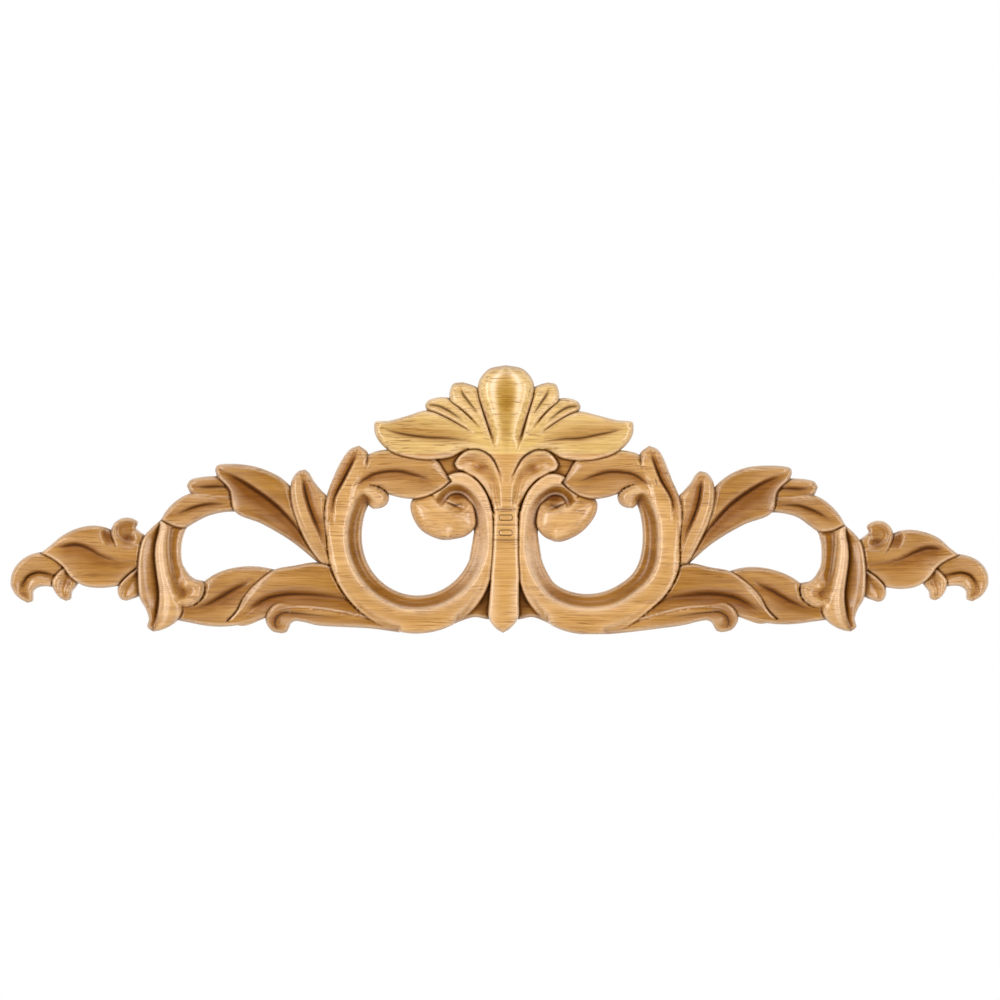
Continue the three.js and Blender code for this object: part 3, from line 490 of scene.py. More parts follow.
# One form ready for carving: its rails as even lines, carried to their half, and its outline. The
# middle rail, where none is drawn, runs halfway between the other two.
def readyForm(form, carry):
    rails = [smoothLine(carry(rail)) for rail in form["rails"]]
    if len(rails) == 2:
        middle = np.mean(np.array(form["rails"], float), axis=0)
        rails.insert(1, smoothLine(carry(middle)))
    outline = np.vstack([rails[0][:, :2], rails[2][::-1, :2]])
    gap = np.linalg.norm(np.diff(outline, axis=0, append=outline[:1]), axis=1)
    return {**form, "lines": rails, "outline": outline[gap > cutting["sameSpot"]]}


# The rails of a C-scroll's ring: eye + radius (cos angle, sin angle), the radius read off its list.
def ringForm(ring, spots=49):
    angle = np.radians(np.linspace(ring["from"], ring["to"], spots))
    circle = np.column_stack([np.cos(angle), np.sin(angle)])
    radii = [along(ring[name], np.linspace(0, 1, spots)) for name in ("outer", "arris", "inner")]
    return {**ring, "rails": [ring["eye"] + radius[:, None] * circle for radius in radii]}


# A form of the middle: its first rail is mirrored about the second.
def wholeForm(form):
    edge, axis = (np.asarray(rail, float) for rail in form["rails"])
    mirrored = np.column_stack([2 * axis[:, 0] - edge[:, 0], edge[:, 1]])
    return {**form, "rails": [edge, axis, mirrored], "cuts": form["cuts"] * 2}


# All forms in the order of carving, the lowest first.
def carvingOrder():
    ready = []
    for name, form in forms.items():
        if name == ring["before"]:
            ready += [readyForm(ringForm(ring), carry) for carry in (asDrawn, toRight)]
        if "middle" in form:
            ready.append(readyForm(wholeForm(form), asDrawn))
        else:
            ready += [readyForm(form, carry) for carry in (asDrawn, toRight)]
    return ready


ordered = carvingOrder()
print("forms:", len(ordered))


# Whether spots lie inside any form, or inside one that is carved after the given number.
def insideAny(spots, after=-1):
    result = np.zeros(len(spots), bool)
    for form in ordered[after + 1:]:
        rest = np.flatnonzero(~result)
        result[rest] = inside(spots[rest], form["outline"])
    return result


# The stretches of a line whose segments are wanted.
def openRuns(spots, wanted):
    edges = np.flatnonzero(np.diff(np.concatenate([[0], wanted.astype(int), [0]])))
    return [spots[a:b + 1] for a, b in zip(edges[::2], edges[1::2])]


# The lines that the mesh must follow: each form's outline where nothing lies over it.
def visibleRuns():
    runs = []
    for i, form in enumerate(ordered):
        for rail in (form["lines"][0], form["lines"][2], *endLines(form)):
            covered = insideAny(rail[:, :2], i)
            runs += openRuns(rail[:, :2], ~(covered[:-1] & covered[1:]))
    return runs


# The straight lines that close a form's outline at its two ends, where its rails don't meet.
def endLines(form):
    closing = []
    for k in (0, -1):
        ends = np.array([form["lines"][0][k, :2], form["lines"][2][k, :2]])
        if np.linalg.norm(ends[1] - ends[0]) > cutting["onLine"]:
            closing.append(smoothLine([ends[0], ends.mean(0), ends[1]]))
    return closing


# The beds of the veins, where no form lies over them.
def veinRuns():
    runs = []
    for i, form in enumerate(ordered):
        if "vein" in form:
            bed = form["lines"][1][:, :2]
            covered = insideAny(bed, i)
            runs += openRuns(bed, ~(covered[:-1] | covered[1:]))
    return runs


# Single strokes of the V-tool: half width in the pattern's units, depth in millimetres, and how
# deep the tool went along the way.
strokes = {
    "leafTip": [2.0, 0.9, [0.6, 1, 0.4, 0], [[368.5, 453], [367.5, 459], [366.5, 466], [365, 471]]],
    "crescent": [2.4, 0.8, [0, 0.8, 1, 0.8, 0],
                 [[443, 500], [450, 504], [455, 505.5], [460, 504], [467, 500]]],
    "hookLine": [1.6, 0.3, [0, 1, 1, 0.5, 0],
                 [[24, 583], [28, 576.5], [35, 573.5], [44, 573.5], [52, 576.5]]],
}
# A fleck in the right scroll leaf and two small chips on its edge, in the sheet's own coordinates.
flaws = {
    "fleck": [1.3, 0.5, [0.6, 1, 0.7], [[654.5, 478.5], [656, 481.5], [657, 485]]],
    "upperChip": [1.5, 0.5, [0, 1, 0.5, 0], [[662, 474.5], [666, 473], [669, 474], [671, 477]]],
    "lowerChip": [1.4, 0.45, [0, 1, 0.6, 0], [[671, 488], [674, 486.5], [677, 488], [678, 491]]],
}
# Marks on the stem: level lines right across it, and rounded frames.
stemMarks = {
    "halfWidth": 1.25, "lines": [509.5, 525, 540], "reach": 13.5, "lineDepth": 0.4,
    "lineStrength": [0.6, 1, 1, 0.6], "frames": [517.6, 532.7], "frameShift": 0.3, "frameDepth": 0.32,
    "frameWidth": 13, "frameHeight": 5.4, "cornerRadius": 1.8,
}


# Rounded frame of a stem mark about its centre: a rectangle with quarter circles at the corners.
def frameLine(centreX, centreY):
    radius = stemMarks["cornerRadius"]
    halfWidth = stemMarks["frameWidth"] / 2 - radius
    halfHeight = stemMarks["frameHeight"] / 2 - radius
    spots = []
    for signX, signY, start in ((1, 1, 0), (-1, 1, 90), (-1, -1, 180), (1, -1, 270), (1, 1, 360)):
        for degrees in ((start, start + 45, start + 90) if start < 360 else (360,)):
            spots.append([centreX + signX * halfWidth + radius * math.cos(math.radians(degrees)),
                          centreY + signY * halfHeight + radius * math.sin(math.radians(degrees))])
    travelled = distanceAlong(np.array(spots))
    return np.column_stack([spots, travelled / travelled[-1]])


# Every stroke: [line, half width, depth, strength along].
def allStrokes():
    made = []
    for halfWidth, depth, strength, points in strokes.values():
        for carry in (asDrawn, toRight):
            made.append([smoothLine(carry(points)), halfWidth, depth, strength])
    for halfWidth, depth, strength, points in flaws.values():
        made.append([smoothLine(points), halfWidth, depth, strength])
    middle, halfWidth = pattern["crestMiddle"], stemMarks["halfWidth"]
    for y in stemMarks["lines"]:
        level = [[middle - stemMarks["reach"], y], [middle, y], [middle + stemMarks["reach"], y]]
        made.append([smoothLine(level), halfWidth, stemMarks["lineDepth"], stemMarks["lineStrength"]])
    for y in stemMarks["frames"]:
        frameSpots = frameLine(middle - stemMarks["frameShift"], y)
        made.append([frameSpots, halfWidth, stemMarks["frameDepth"], [1]])
    return made


strokeList = allStrokes()


# The ends of the crest block, a little past the tips of the palmette's side leaves.
def blockEnds():
    tip = forms["sideLeaf"]["rails"][0][0]
    return tip[0] - pattern["endClearance"], toRight([tip])[0, 0] + pattern["endClearance"]


blockLeft, blockRight = blockEnds()
glueLine = pattern["glueLine"]


# The plan mesh, in the pattern's units: rows of points beside each line, each with its offset as a
# multiple of rowOffset and the space kept round its points, and a triangular grid over the sheet,
# whose rows are rowHeight steps apart.
meshing = {
    "sheet": [5, 360, 996, 640], "gridStep": 1.42, "rowOffset": 0.95, "rows": [[1, 0.7], [2.15, 0.8]],
    "rowHeight": 0.866, "stampStep": 0.3, "lineClearance": 0.62, "mergeWithin": 0.02,
    "rasterCell": 0.25, "rasterFrom": [-20, 20], "rasterSize": [1040, 700],
}


# A fine raster over the pattern that remembers where points already stand.
class Raster:
    def __init__(self):
        self.cell = meshing["rasterCell"]
        width, depth = meshing["rasterSize"]
        self.marks = np.zeros((int(depth / self.cell), int(width / self.cell)), bool)

    def spots(self, points):
        columns, rows = ((points - meshing["rasterFrom"]) / self.cell).astype(int).T
        return rows, columns

    def stamp(self, points, radius):
        reach = int(math.ceil(radius / self.cell))
        rows, columns = self.spots(points)
        for down in range(-reach, reach + 1):
            for right in range(-reach, reach + 1):
                if math.hypot(down, right) * self.cell <= radius:
                    self.marks[rows + down, columns + right] = True

    def free(self, points):
        return points[~self.marks[self.spots(points)]]


# Points every step along a run.
def alongRun(run, step):
    travelled = distanceAlong(run)
    even = np.arange(0, travelled[-1], step)
    return np.column_stack([np.interp(even, travelled, run[:, k]) for k in range(2)])


# A row of points beside a run: each point plus the offset along the run's normal there.
def besideRun(run, offset):
    step = np.gradient(run, axis=0)
    length = np.maximum(np.linalg.norm(step, axis=1, keepdims=True), 1e-9)
    return run + offset * (np.column_stack([-step[:, 1], step[:, 0]]) / length)


# The crest block's outline as lines: up one end, level along the glue line, and down the other.
def seamLines():
    top = meshing["sheet"][1]
    corners = ([blockLeft, top], [blockLeft, glueLine], [blockRight, glueLine], [blockRight, top])
    return [smoothLine([a, np.mean([a, b], axis=0), b])[:, :2] for a, b in zip(corners, corners[1:])]


# Points joined into triangles by Delaunay's rule with the given edges kept. Returns the points, the
# triangles, and for each point the number of the given one.
def joined(points, edges, tolerance):
    made = delaunay_2d_cdt([Vector(p) for p in points.tolist()], edges, [], 0, tolerance)
    given = np.array([o[0] if o else -1 for o in made[3]])
    return np.array([v[:] for v in made[0]]), np.array(made[2]), given


# The points of the plan mesh off its lines: rows beside each line, then a triangular grid, each
# point clear of those before it and inside a form.
def loosePoints(lines, followed):
    raster = Raster()
    for run in lines:
        raster.stamp(alongRun(run, meshing["stampStep"]), meshing["lineClearance"])
    rows = []
    for times, clearance in meshing["rows"]:
        for run in followed:
            for side in (1, -1):
                kept = raster.free(besideRun(run, side * times * meshing["rowOffset"]))
                if len(kept):
                    raster.stamp(kept, clearance)
                    rows.append(kept)
    step = meshing["gridStep"]
    left, top, right, bottom = meshing["sheet"]
    rowStep = step * meshing["rowHeight"]
    gridX, gridY = np.meshgrid(np.arange(left, right, step), np.arange(top, bottom, rowStep))
    gridX = gridX + (np.arange(gridX.shape[0]) % 2)[:, None] * step / 2
    loose = np.vstack([*rows, raster.free(np.column_stack([gridX.ravel(), gridY.ravel()]))])
    return loose[insideAny(loose)]


# The plan mesh: points and triangles inside the forms' joint outline. A sliver on a seam between two
# forms, with kept triangles on all three sides, is kept too.
def planMesh():
    followed = visibleRuns() + [stroke[0][:, :2] for stroke in strokeList] + veinRuns()
    lines = followed + seamLines()
    edges, at = [], 0
    for run in lines:
        edges += [(k, k + 1) for k in range(at, at + len(run) - 1)]
        at += len(run)
    points = np.vstack([*lines, loosePoints(lines, followed)])
    spots, triangles, _ = joined(points, edges, meshing["mergeWithin"])
    kept = insideAny(spots[triangles].mean(1))
    sides = np.sort(triangles[:, [0, 1, 1, 2, 2, 0]].reshape(-1, 2), axis=1)
    sides = np.unique(sides, axis=0, return_inverse=True)[1].reshape(-1, 3)
    keptSides = np.bincount(sides[kept].ravel(), minlength=sides.max() + 1) > 0
    kept |= keptSides[sides].all(1)
    used, triangles = np.unique(triangles[kept], return_inverse=True)
    return spots[used], triangles.reshape(-1, 3)


plan, triangles = planMesh()
print("plan mesh:", len(plan), "points,", len(triangles), "triangles")


# Where points lie in a form. d0, d1 and d2 are the distances to its three rails, and s0, s1 and s2
# the shares of the way there. The place between the rails is d0 / (d0 + d1) on the first half and
# 2 - d2 / (d2 + d1) on the other.
def placed(form, near):
    (d0, s0), (d1, s1), (d2, s2) = (nearest(near, rail) for rail in form["lines"])
    firstHalf = inside(near, np.vstack([form["lines"][0][:, :2], form["lines"][1][::-1, :2]]))
    outer = np.where(firstHalf, d0, d2)
    away = outer / np.maximum(outer + d1, 1e-6)
    cuts = form.get("cuts", [[1], [1]])
    return {
        "within": inside(near, form["outline"]), "firstHalf": firstHalf,
        "place": np.where(firstHalf, away, 2 - away),
        "share": s1 * away + np.where(firstHalf, s0, s2) * (1 - away),
        "edge": np.minimum(d0, d2), "fromMiddle": d1, "middleShare": s1,
        "cut": np.where(d0 < d2, along(cuts[0], s0), along(cuts[1], s2)),
    }


# The hollow along a leaf's vein: its curve, the fine line along its bed, and how far its shade spreads.
veins = {
    "power": 1.7, "lineCore": 1.2, "lineWidth": 1.7, "lineDepth": 0.35,
    "shadeCore": 1.3, "shadeSpread": 1.25,
}


# A form's own height in millimetres: rise(share) profile(place) thickness, less the vein's hollow
# depth (1 - d1 / width)^1.7 with a fine line along its bed, an arris drop (1 - edge / width)^2 beside
# a groove, and a dome's drop (1 - edge / reach)^2. Also gives the vein's line and its hollow's shade.
def ownHeight(form, at):
    knots = np.array(profiles[form["profile"]])
    profile = smoothTable(knots[:, 0], knots[:, 1], cutting["profileBlur"])
    own = profile(at["place"]) * along(form["rise"], at["share"]) * real["thickness"]
    veinLine = np.zeros(len(own))
    veinShade = np.zeros(len(own))
    if "vein" in form:
        widthFirst, widthLast, depth, strengths = form["vein"]
        width = np.where(at["firstHalf"], widthFirst, widthLast)
        deep = along(strengths, at["middleShare"])
        valley = np.clip(1 - at["fromMiddle"] / width, 0, 1) ** veins["power"]
        veinLine = deep * np.clip(veins["lineCore"] - at["fromMiddle"] / veins["lineWidth"], 0, 1)
        own = own - depth * deep * valley - veins["lineDepth"] * veinLine
        spread = at["fromMiddle"] / (veins["shadeSpread"] * width)
        veinShade = depth * deep * np.clip(veins["shadeCore"] - spread, 0, 1)
    arris = np.clip(1 - at["edge"] / cutting["arrisWidth"], 0, 1)
    own = own - np.minimum(at["cut"], 1) * cutting["arrisDrop"] * arris ** 2
    domeDrop, domeReach = form.get("dome", [0, 1])
    return own - domeDrop * np.clip(1 - at["edge"] / domeReach, 0, 1) ** 2, veinLine, veinShade


# How strongly a form stands over what is under it. The weight runs out over the fades at its ends,
# and the blend also runs out towards an edge without a groove.
def standing(form, at):
    startFade, endFade = form.get("fade", [0, 0])
    weight = np.ones(len(at["share"]))
    if startFade:
        weight = weight * smoothStep(at["share"] / startFade)
    if endFade:
        weight = weight * smoothStep((1 - at["share"]) / endFade)
    firm = np.maximum(at["cut"], smoothStep(at["edge"] / form.get("soft", cutting["softWidth"])))
    return weight, weight * np.minimum(firm, 1)


# Where tints lie: the painted highlight just inside a grooved edge, the painted highlight along a middle
# rail, the cove of a scroll, from its arris to its last rail, which takes painted shade and a painted
# sheen, and the dark line in a groove, partly painted shade. firstStain is the bare blank's.
tinting = {
    "highlightAt": 2.4, "highlightWidth": 0.8, "ridgeHighlightWidth": 1.8, "coveFrom": 1.0, "coveOver": 0.12,
    "sheenTo": 1.95, "sheenOver": 0.5, "groovePower": 1.3, "grooveInside": 0.75, "firstStain": 0.5,
}


# A form's stain with the painted shade of its cove and its shadows, and its painted highlights: the
# sheen in its cove, its streaks and its ridge.
def ownTints(form, at):
    place, share = at["place"], at["share"]
    stainAndShade = along(form["stainAndShade"], share)
    pale = np.zeros(len(share))
    if "coveShade" in form:
        cove = smoothStep((place - tinting["coveFrom"]) / tinting["coveOver"])
        # the cove's own list replaces the stain there: painted shade in the cove
        stainAndShade = stainAndShade + (along(form["coveShade"], share) - stainAndShade) * cove
        # a painted sheen in the cove, as strong as its list says
        paintedSheen = cove * smoothStep((tinting["sheenTo"] - place) / tinting["sheenOver"])
        pale = paintedSheen * along(form["coveSheen"], share)
    # the shadows are painted shade, laid into the stain tint
    for middle, width, strengths in form.get("shadows", []):
        stainAndShade = np.maximum(stainAndShade, along(strengths, share) * np.exp(-((place - middle) / width) ** 4))
    # the streaks are painted highlights
    for middle, width, strengths in form.get("highlightStreaks", []):
        pale = np.maximum(pale, along(strengths, share) * np.exp(-((place - middle) / width) ** 2))
    # a painted highlight along the middle rail
    if "ridgeHighlight" in form:
        ridgeHighlight = np.exp(-(at["fromMiddle"] / tinting["ridgeHighlightWidth"]) ** 2)
        pale = np.maximum(pale, along(form["ridgeHighlight"], at["middleShare"]) * ridgeHighlight)
    return stainAndShade, pale


# The height in millimetres and the tints of every plan point. Forms are carved one over another, and
# just outside each one a groove is cut into what lies under it.
def carve(points):
    height = np.full(len(points), np.nan)
    line, pale, shade = np.zeros((3, len(points)))
    stainAndShade = np.full(len(points), tinting["firstStain"])
    for form in ordered:
        rows = rowsNear(points, form["outline"], cutting["grooveWidth"])
        at = placed(form, points[rows])
        within, edge = at["within"], at["edge"]
        own, veinLine, veinShade = ownHeight(form, at)
        weight, blend = standing(form, at)
        under = height[rows]
        empty = np.isnan(under)
        onLine = edge < cutting["onLine"]
        groove = at["cut"] * weight * np.clip(1 - edge / cutting["grooveWidth"], 0, 1)
        lowered = under - cutting["grooveDepth"] * groove
        mixed = np.where(empty, own, under + (own - under) * blend)
        result = np.where(within | (onLine & empty), mixed, np.where(empty, np.nan, lowered))
        height[rows] = np.where(onLine & ~empty, np.fmin(lowered, mixed), result)
        inner = within & ~onLine
        # the dark line in a groove, partly painted shade
        grooveLine = np.where(empty, 0, groove ** tinting["groovePower"])
        grooveLine = grooveLine * np.where(inner, tinting["grooveInside"], 1)
        lineUnder = line[rows] * np.where(inner, 1 - blend, 1)
        line[rows] = np.maximum(lineUnder, np.maximum(grooveLine, veinLine * within))
        laid = np.where(within, blend, 0)
        ownStainAndShade, ownHighlight = ownTints(form, at)
        # a painted highlight just inside an edge that has a groove beside it
        grooveHighlight = at["cut"] * weight * np.exp(-((edge - tinting["highlightAt"]) / tinting["highlightWidth"]) ** 2)
        pale[rows] = np.maximum(pale[rows] * (1 - laid) + grooveHighlight * laid, ownHighlight * laid)
        shade[rows] = shade[rows] * (1 - laid) + veinShade * laid
        stainAndShade[rows] = stainAndShade[rows] * (1 - laid) + ownStainAndShade * laid
    return height, line, pale, shade, stainAndShade


# Cuts the V-tool's strokes, each depth (1 - distance / half width) deep.
def cutStrokes(points, height, line):
    for spots, halfWidth, depth, strengths in strokeList:
        rows = rowsNear(points, spots[:, :2], halfWidth)
        distance, share = nearest(points[rows], spots)
        cut = along(strengths, share) * np.clip(1 - distance / halfWidth, 0, 1)
        height[rows] -= depth * cut
        # the strokes darken the line tint too: dark cut lines, partly painted shade
        line[rows] = np.maximum(line[rows], cut)


# Soft hollows: centre, half sizes and depth in millimetres, and how quickly they fall off.
hollowFall = 1.4
hollows = [[458, 496, 10, 6, 1.5], [480, 469, 8, 6, 0.9], [128, 538, 7, 6, 1.1], [107, 533, 5, 9, 1.6],
           [110, 541, 5, 5, 0.9], [67, 583, 6, 6, 0.5], [189, 591, 6, 5, 0.6], [25, 596, 4, 4, 0.3]]


# Presses the soft hollows in: depth exp(-fall r^2), with r the distance in half sizes.
def pressHollows(points, height, shade):
    for carry in (asDrawn, toRight):
        for x, y, halfWidth, halfHeight, depth in hollows:
            gap = (points - carry([[x, y]])[0]) / [halfWidth, halfHeight]
            dent = depth * np.exp(-hollowFall * (gap ** 2).sum(1))
            height -= dent
            # each dent is also laid into the shade tint as painted shade
            shade += dent


height, line, pale, shade, stainAndShade = carve(plan)
cutStrokes(plan, height, line)
pressHollows(plan, height, shade)
print("carved:", int(np.isnan(height).sum()), "points without a height, highest", float(np.nanmax(height)))


# The last pass over the whole surface. It is softened all but the cuts, which lineGuard keeps, and then
# set against its own broad form, softened broadTimes, which gives the recess. The tint by level is
# softened levelTimes. lowest is in millimetres and highestShare a share of the thickness.
finishing = {
    "softening": 2, "softeningShare": 0.5, "lineGuard": 2, "broadTimes": 60, "levelTimes": 12,
    "softShare": 0.6, "recessDepth": 1.2, "unfilledShare": 0.4, "lowest": 1.5, "highestShare": 0.99,
    "paleLostAtRim": 0.6, "rimSpread": 1.5,
}


# The edges of triangles as pairs of points, in the direction that each triangle runs.
def edgePairs(faces):
    return np.vstack([faces[:, [0, 1]], faces[:, [1, 2]], faces[:, [2, 0]]])


# Softens a value over the mesh: each point moves by the given share towards the mean of those
# joined to it.
def softened(values, edges, times, share):
    count = np.bincount(edges.ravel(), minlength=len(values))
    for _ in range(times):
        total = (np.bincount(edges[:, 0], values[edges[:, 1]], len(values))
                 + np.bincount(edges[:, 1], values[edges[:, 0]], len(values)))
        values = values + share * (total / np.maximum(count, 1) - values)
    return values


# How far each plan point is from the outer edge: the distance to the nearest of three samples on each
# border edge, worked out one upright strip at a time. Strips without a border stay endlessly far.
def distanceToRim(points, border, strip=12.0):
    samples = np.vstack([points[border[:, 0]] * (1 - t) + points[border[:, 1]] * t for t in (0, 0.33, 0.67)])
    distance = np.full(len(points), np.inf)
    for left in np.arange(points[:, 0].min() - 1, points[:, 0].max() + 1, strip):
        rows = np.flatnonzero((points[:, 0] >= left) & (points[:, 0] < left + strip))
        near = samples[np.abs(samples[:, 0] - left - strip / 2) < strip / 2 + cutting["rimReach"]]
        if len(rows) and len(near):
            distance[rows] = np.sqrt(((points[rows, None, :] - near[None]) ** 2).sum(-1).min(1))
    return distance


# The broad form under the fine cuts gives the recess, which takes painted shade where the surface sinks
# below it and painted highlight where it stands above it. The outer edge is rounded as a quarter
# ellipse: drop (1 - sqrt(1 - (1 - d / width)^2)).
edges, counts = np.unique(np.sort(edgePairs(triangles), axis=1), axis=0, return_counts=True)
height = np.where(np.isnan(height), finishing["unfilledShare"] * real["thickness"], height)
plain = 1 - np.clip(line * finishing["lineGuard"], 0, 1)
softer = softened(height, edges, finishing["softening"], finishing["softeningShare"])
height = height + plain * (softer - height)
broad = softened(height, edges, finishing["broadTimes"], finishing["softShare"])
recess = np.clip((broad - height) / finishing["recessDepth"], -1, 1)
level = softened(height, edges, finishing["levelTimes"], finishing["softShare"]) / real["thickness"]
distance = distanceToRim(plan, edges[counts == 1])
rounding = np.clip(1 - distance / cutting["rimWidth"], 0, 1)
height = height - cutting["rimDrop"] * (1 - np.sqrt(np.maximum(1 - rounding * rounding, 0)))
rim = np.clip(1 - distance / cutting["rimReach"], 0, 1)
# painted highlights are weakened near the outer edge
pale = pale * (1 - finishing["paleLostAtRim"] * np.clip(finishing["rimSpread"] * rim, 0, 1))
height = np.clip(height, finishing["lowest"], real["thickness"] * finishing["highestShare"])
# pale holds painted highlights and sheen, shade and rim painted shade, recess painted shade and highlight,
# and the stain tint painted shade too
tints = {"line": line, "pale": pale, "shade": shade, "recess": recess, "level": level, "rim": rim,
         "stainAndShade": stainAndShade, "carved": np.ones(len(plan))}
print("rim rounded")


# The flat back of a board, from its border. Returns the border's points, its edges numbered among
# them, and the back's triangles.
def flatBack(spots, border):
    borderPoints, local = np.unique(border, return_inverse=True)
    local = local.reshape(-1, 2)
    backSpots, backFaces, given = joined(spots[borderPoints], local.tolist(), 1e-6)
    keep = insideEdges(backSpots[backFaces].mean(1), spots[border[:, 0]], spots[border[:, 1]])
    return borderPoints, local, given[backFaces[keep]]


# A smooth mesh of triangles from whole arrays.
def triangleMesh(name, vertices, faces):
    mesh = bpy.data.meshes.new(name)
    mesh.vertices.add(len(vertices))
    mesh.vertices.foreach_set("co", vertices.ravel())
    mesh.loops.add(3 * len(faces))
    mesh.loops.foreach_set("vertex_index", faces.ravel().astype(np.int32))
    mesh.polygons.add(len(faces))
    mesh.polygons.foreach_set("loop_start", np.arange(0, 3 * len(faces), 3, dtype=np.int32))
    mesh.polygons.foreach_set("loop_total", np.full(len(faces), 3, dtype=np.int32))
    mesh.polygons.foreach_set("use_smooth", np.ones(len(faces), bool))
    mesh.update(calc_edges=True)
    return mesh


# Whether points lie on the level glue line between the two boards.
def onGlueLine(points):
    return np.abs(points[:, 1] - glueLine) < cutting["sameSpot"]


# One board as a closed mesh: the carved front, walls straight back to Y = 0, and a flat back. Side 1
# is the board under the glue line and -1 the one over it, each pulled back by half the line's width.
def boardObject(name, faces, side):
    used, faces = np.unique(faces, return_inverse=True)
    faces = faces.reshape(-1, 3)
    spots = plan[used]
    near = cutting["sameSpot"]
    onBlock = (spots[:, 0] > blockLeft - near) & (spots[:, 0] < blockRight + near)
    spots[:, 1] += np.where(onGlueLine(spots) & onBlock, side * pattern["glueWidth"] / 2, 0)
    front = np.column_stack([(spots[:, 0] - pattern["middle"]) * unit, -height[used],
                             (pattern["level"] - spots[:, 1]) * unit]) / 1000
    margin = real["boxMargin"] / 1000
    front = np.clip(front, np.array(cadBox[0]) + margin, np.array(cadBox[1]) - margin)
    pairs = edgePairs(faces)
    keys = pairs[:, 0].astype(np.int64) * len(used) + pairs[:, 1]
    reverse = pairs[:, 1].astype(np.int64) * len(used) + pairs[:, 0]
    border = pairs[~np.isin(keys, reverse)]
    borderPoints, local, backFaces = flatBack(spots, border)
    offset = len(used)
    back = front[borderPoints].copy()
    back[:, 1] = 0
    wallA = np.column_stack([border[:, 0], border[:, 1], offset + local[:, 1]])
    wallB = np.column_stack([border[:, 0], offset + local[:, 1], offset + local[:, 0]])
    everything = np.vstack([faces[:, ::-1], wallA, wallB, offset + backFaces])
    mesh = triangleMesh(name, np.vstack([front, back]), everything)
    bare = np.zeros(len(borderPoints))
    for label, values in tints.items():
        full = np.concatenate([values[used], bare]).astype(np.float32)
        mesh.attributes.new(label, "FLOAT", "POINT").data.foreach_set("value", full)
    ends = np.empty(2 * len(mesh.edges), np.int32)
    mesh.edges.foreach_get("vertices", ends)
    ends = ends.reshape(-1, 2)
    onSeam = np.concatenate([onGlueLine(plan[used]), bare > 0])
    sharp = (ends >= offset).all(1) | onSeam[ends].all(1)
    mesh.attributes.new("sharp_edge", "BOOLEAN", "EDGE").data.foreach_set("value", sharp)
    board = bpy.data.objects.new(name, mesh)
    bpy.context.scene.collection.objects.link(board)
    print(name, len(everything), "triangles")
    return board


centre = plan[triangles].mean(1)
isCrest = (centre[:, 1] < glueLine) & (centre[:, 0] > blockLeft) & (centre[:, 0] < blockRight)
crest = boardObject("crestBoard", triangles[isCrest], -1)
scroll = boardObject("scrollBoard", triangles[~isCrest], 1)


# A colour from an sRGB hex string, made linear.
def linear(code):
    channels = [int(code[k:k + 2], 16) / 255 for k in (0, 2, 4)]
    return [c / 12.92 if c <= 0.04045 else ((c + 0.055) / 1.055) ** 2.4 for c in channels] + [1]


# Adds a node with settings, and links or values for its inputs, each given by the socket's name or,
# as i0, i1 and so on, by its number. Returns the node's output of the given number or name.
def addNode(tree, kind, settings, output=0, **inputs):
    node = tree.nodes.new(kind)
    for key, value in settings.items():
        setattr(node, key, value)
    for key, value in inputs.items():
        numbered = key[0] == "i" and key[1:].isdigit()
        socket = node.inputs[int(key[1:]) if numbered else key.replace("_", " ")]
        if hasattr(value, "is_output"):
            tree.links.new(value, socket)
        else:
            socket.default_value = value
    return node.outputs[output] if node.outputs else node


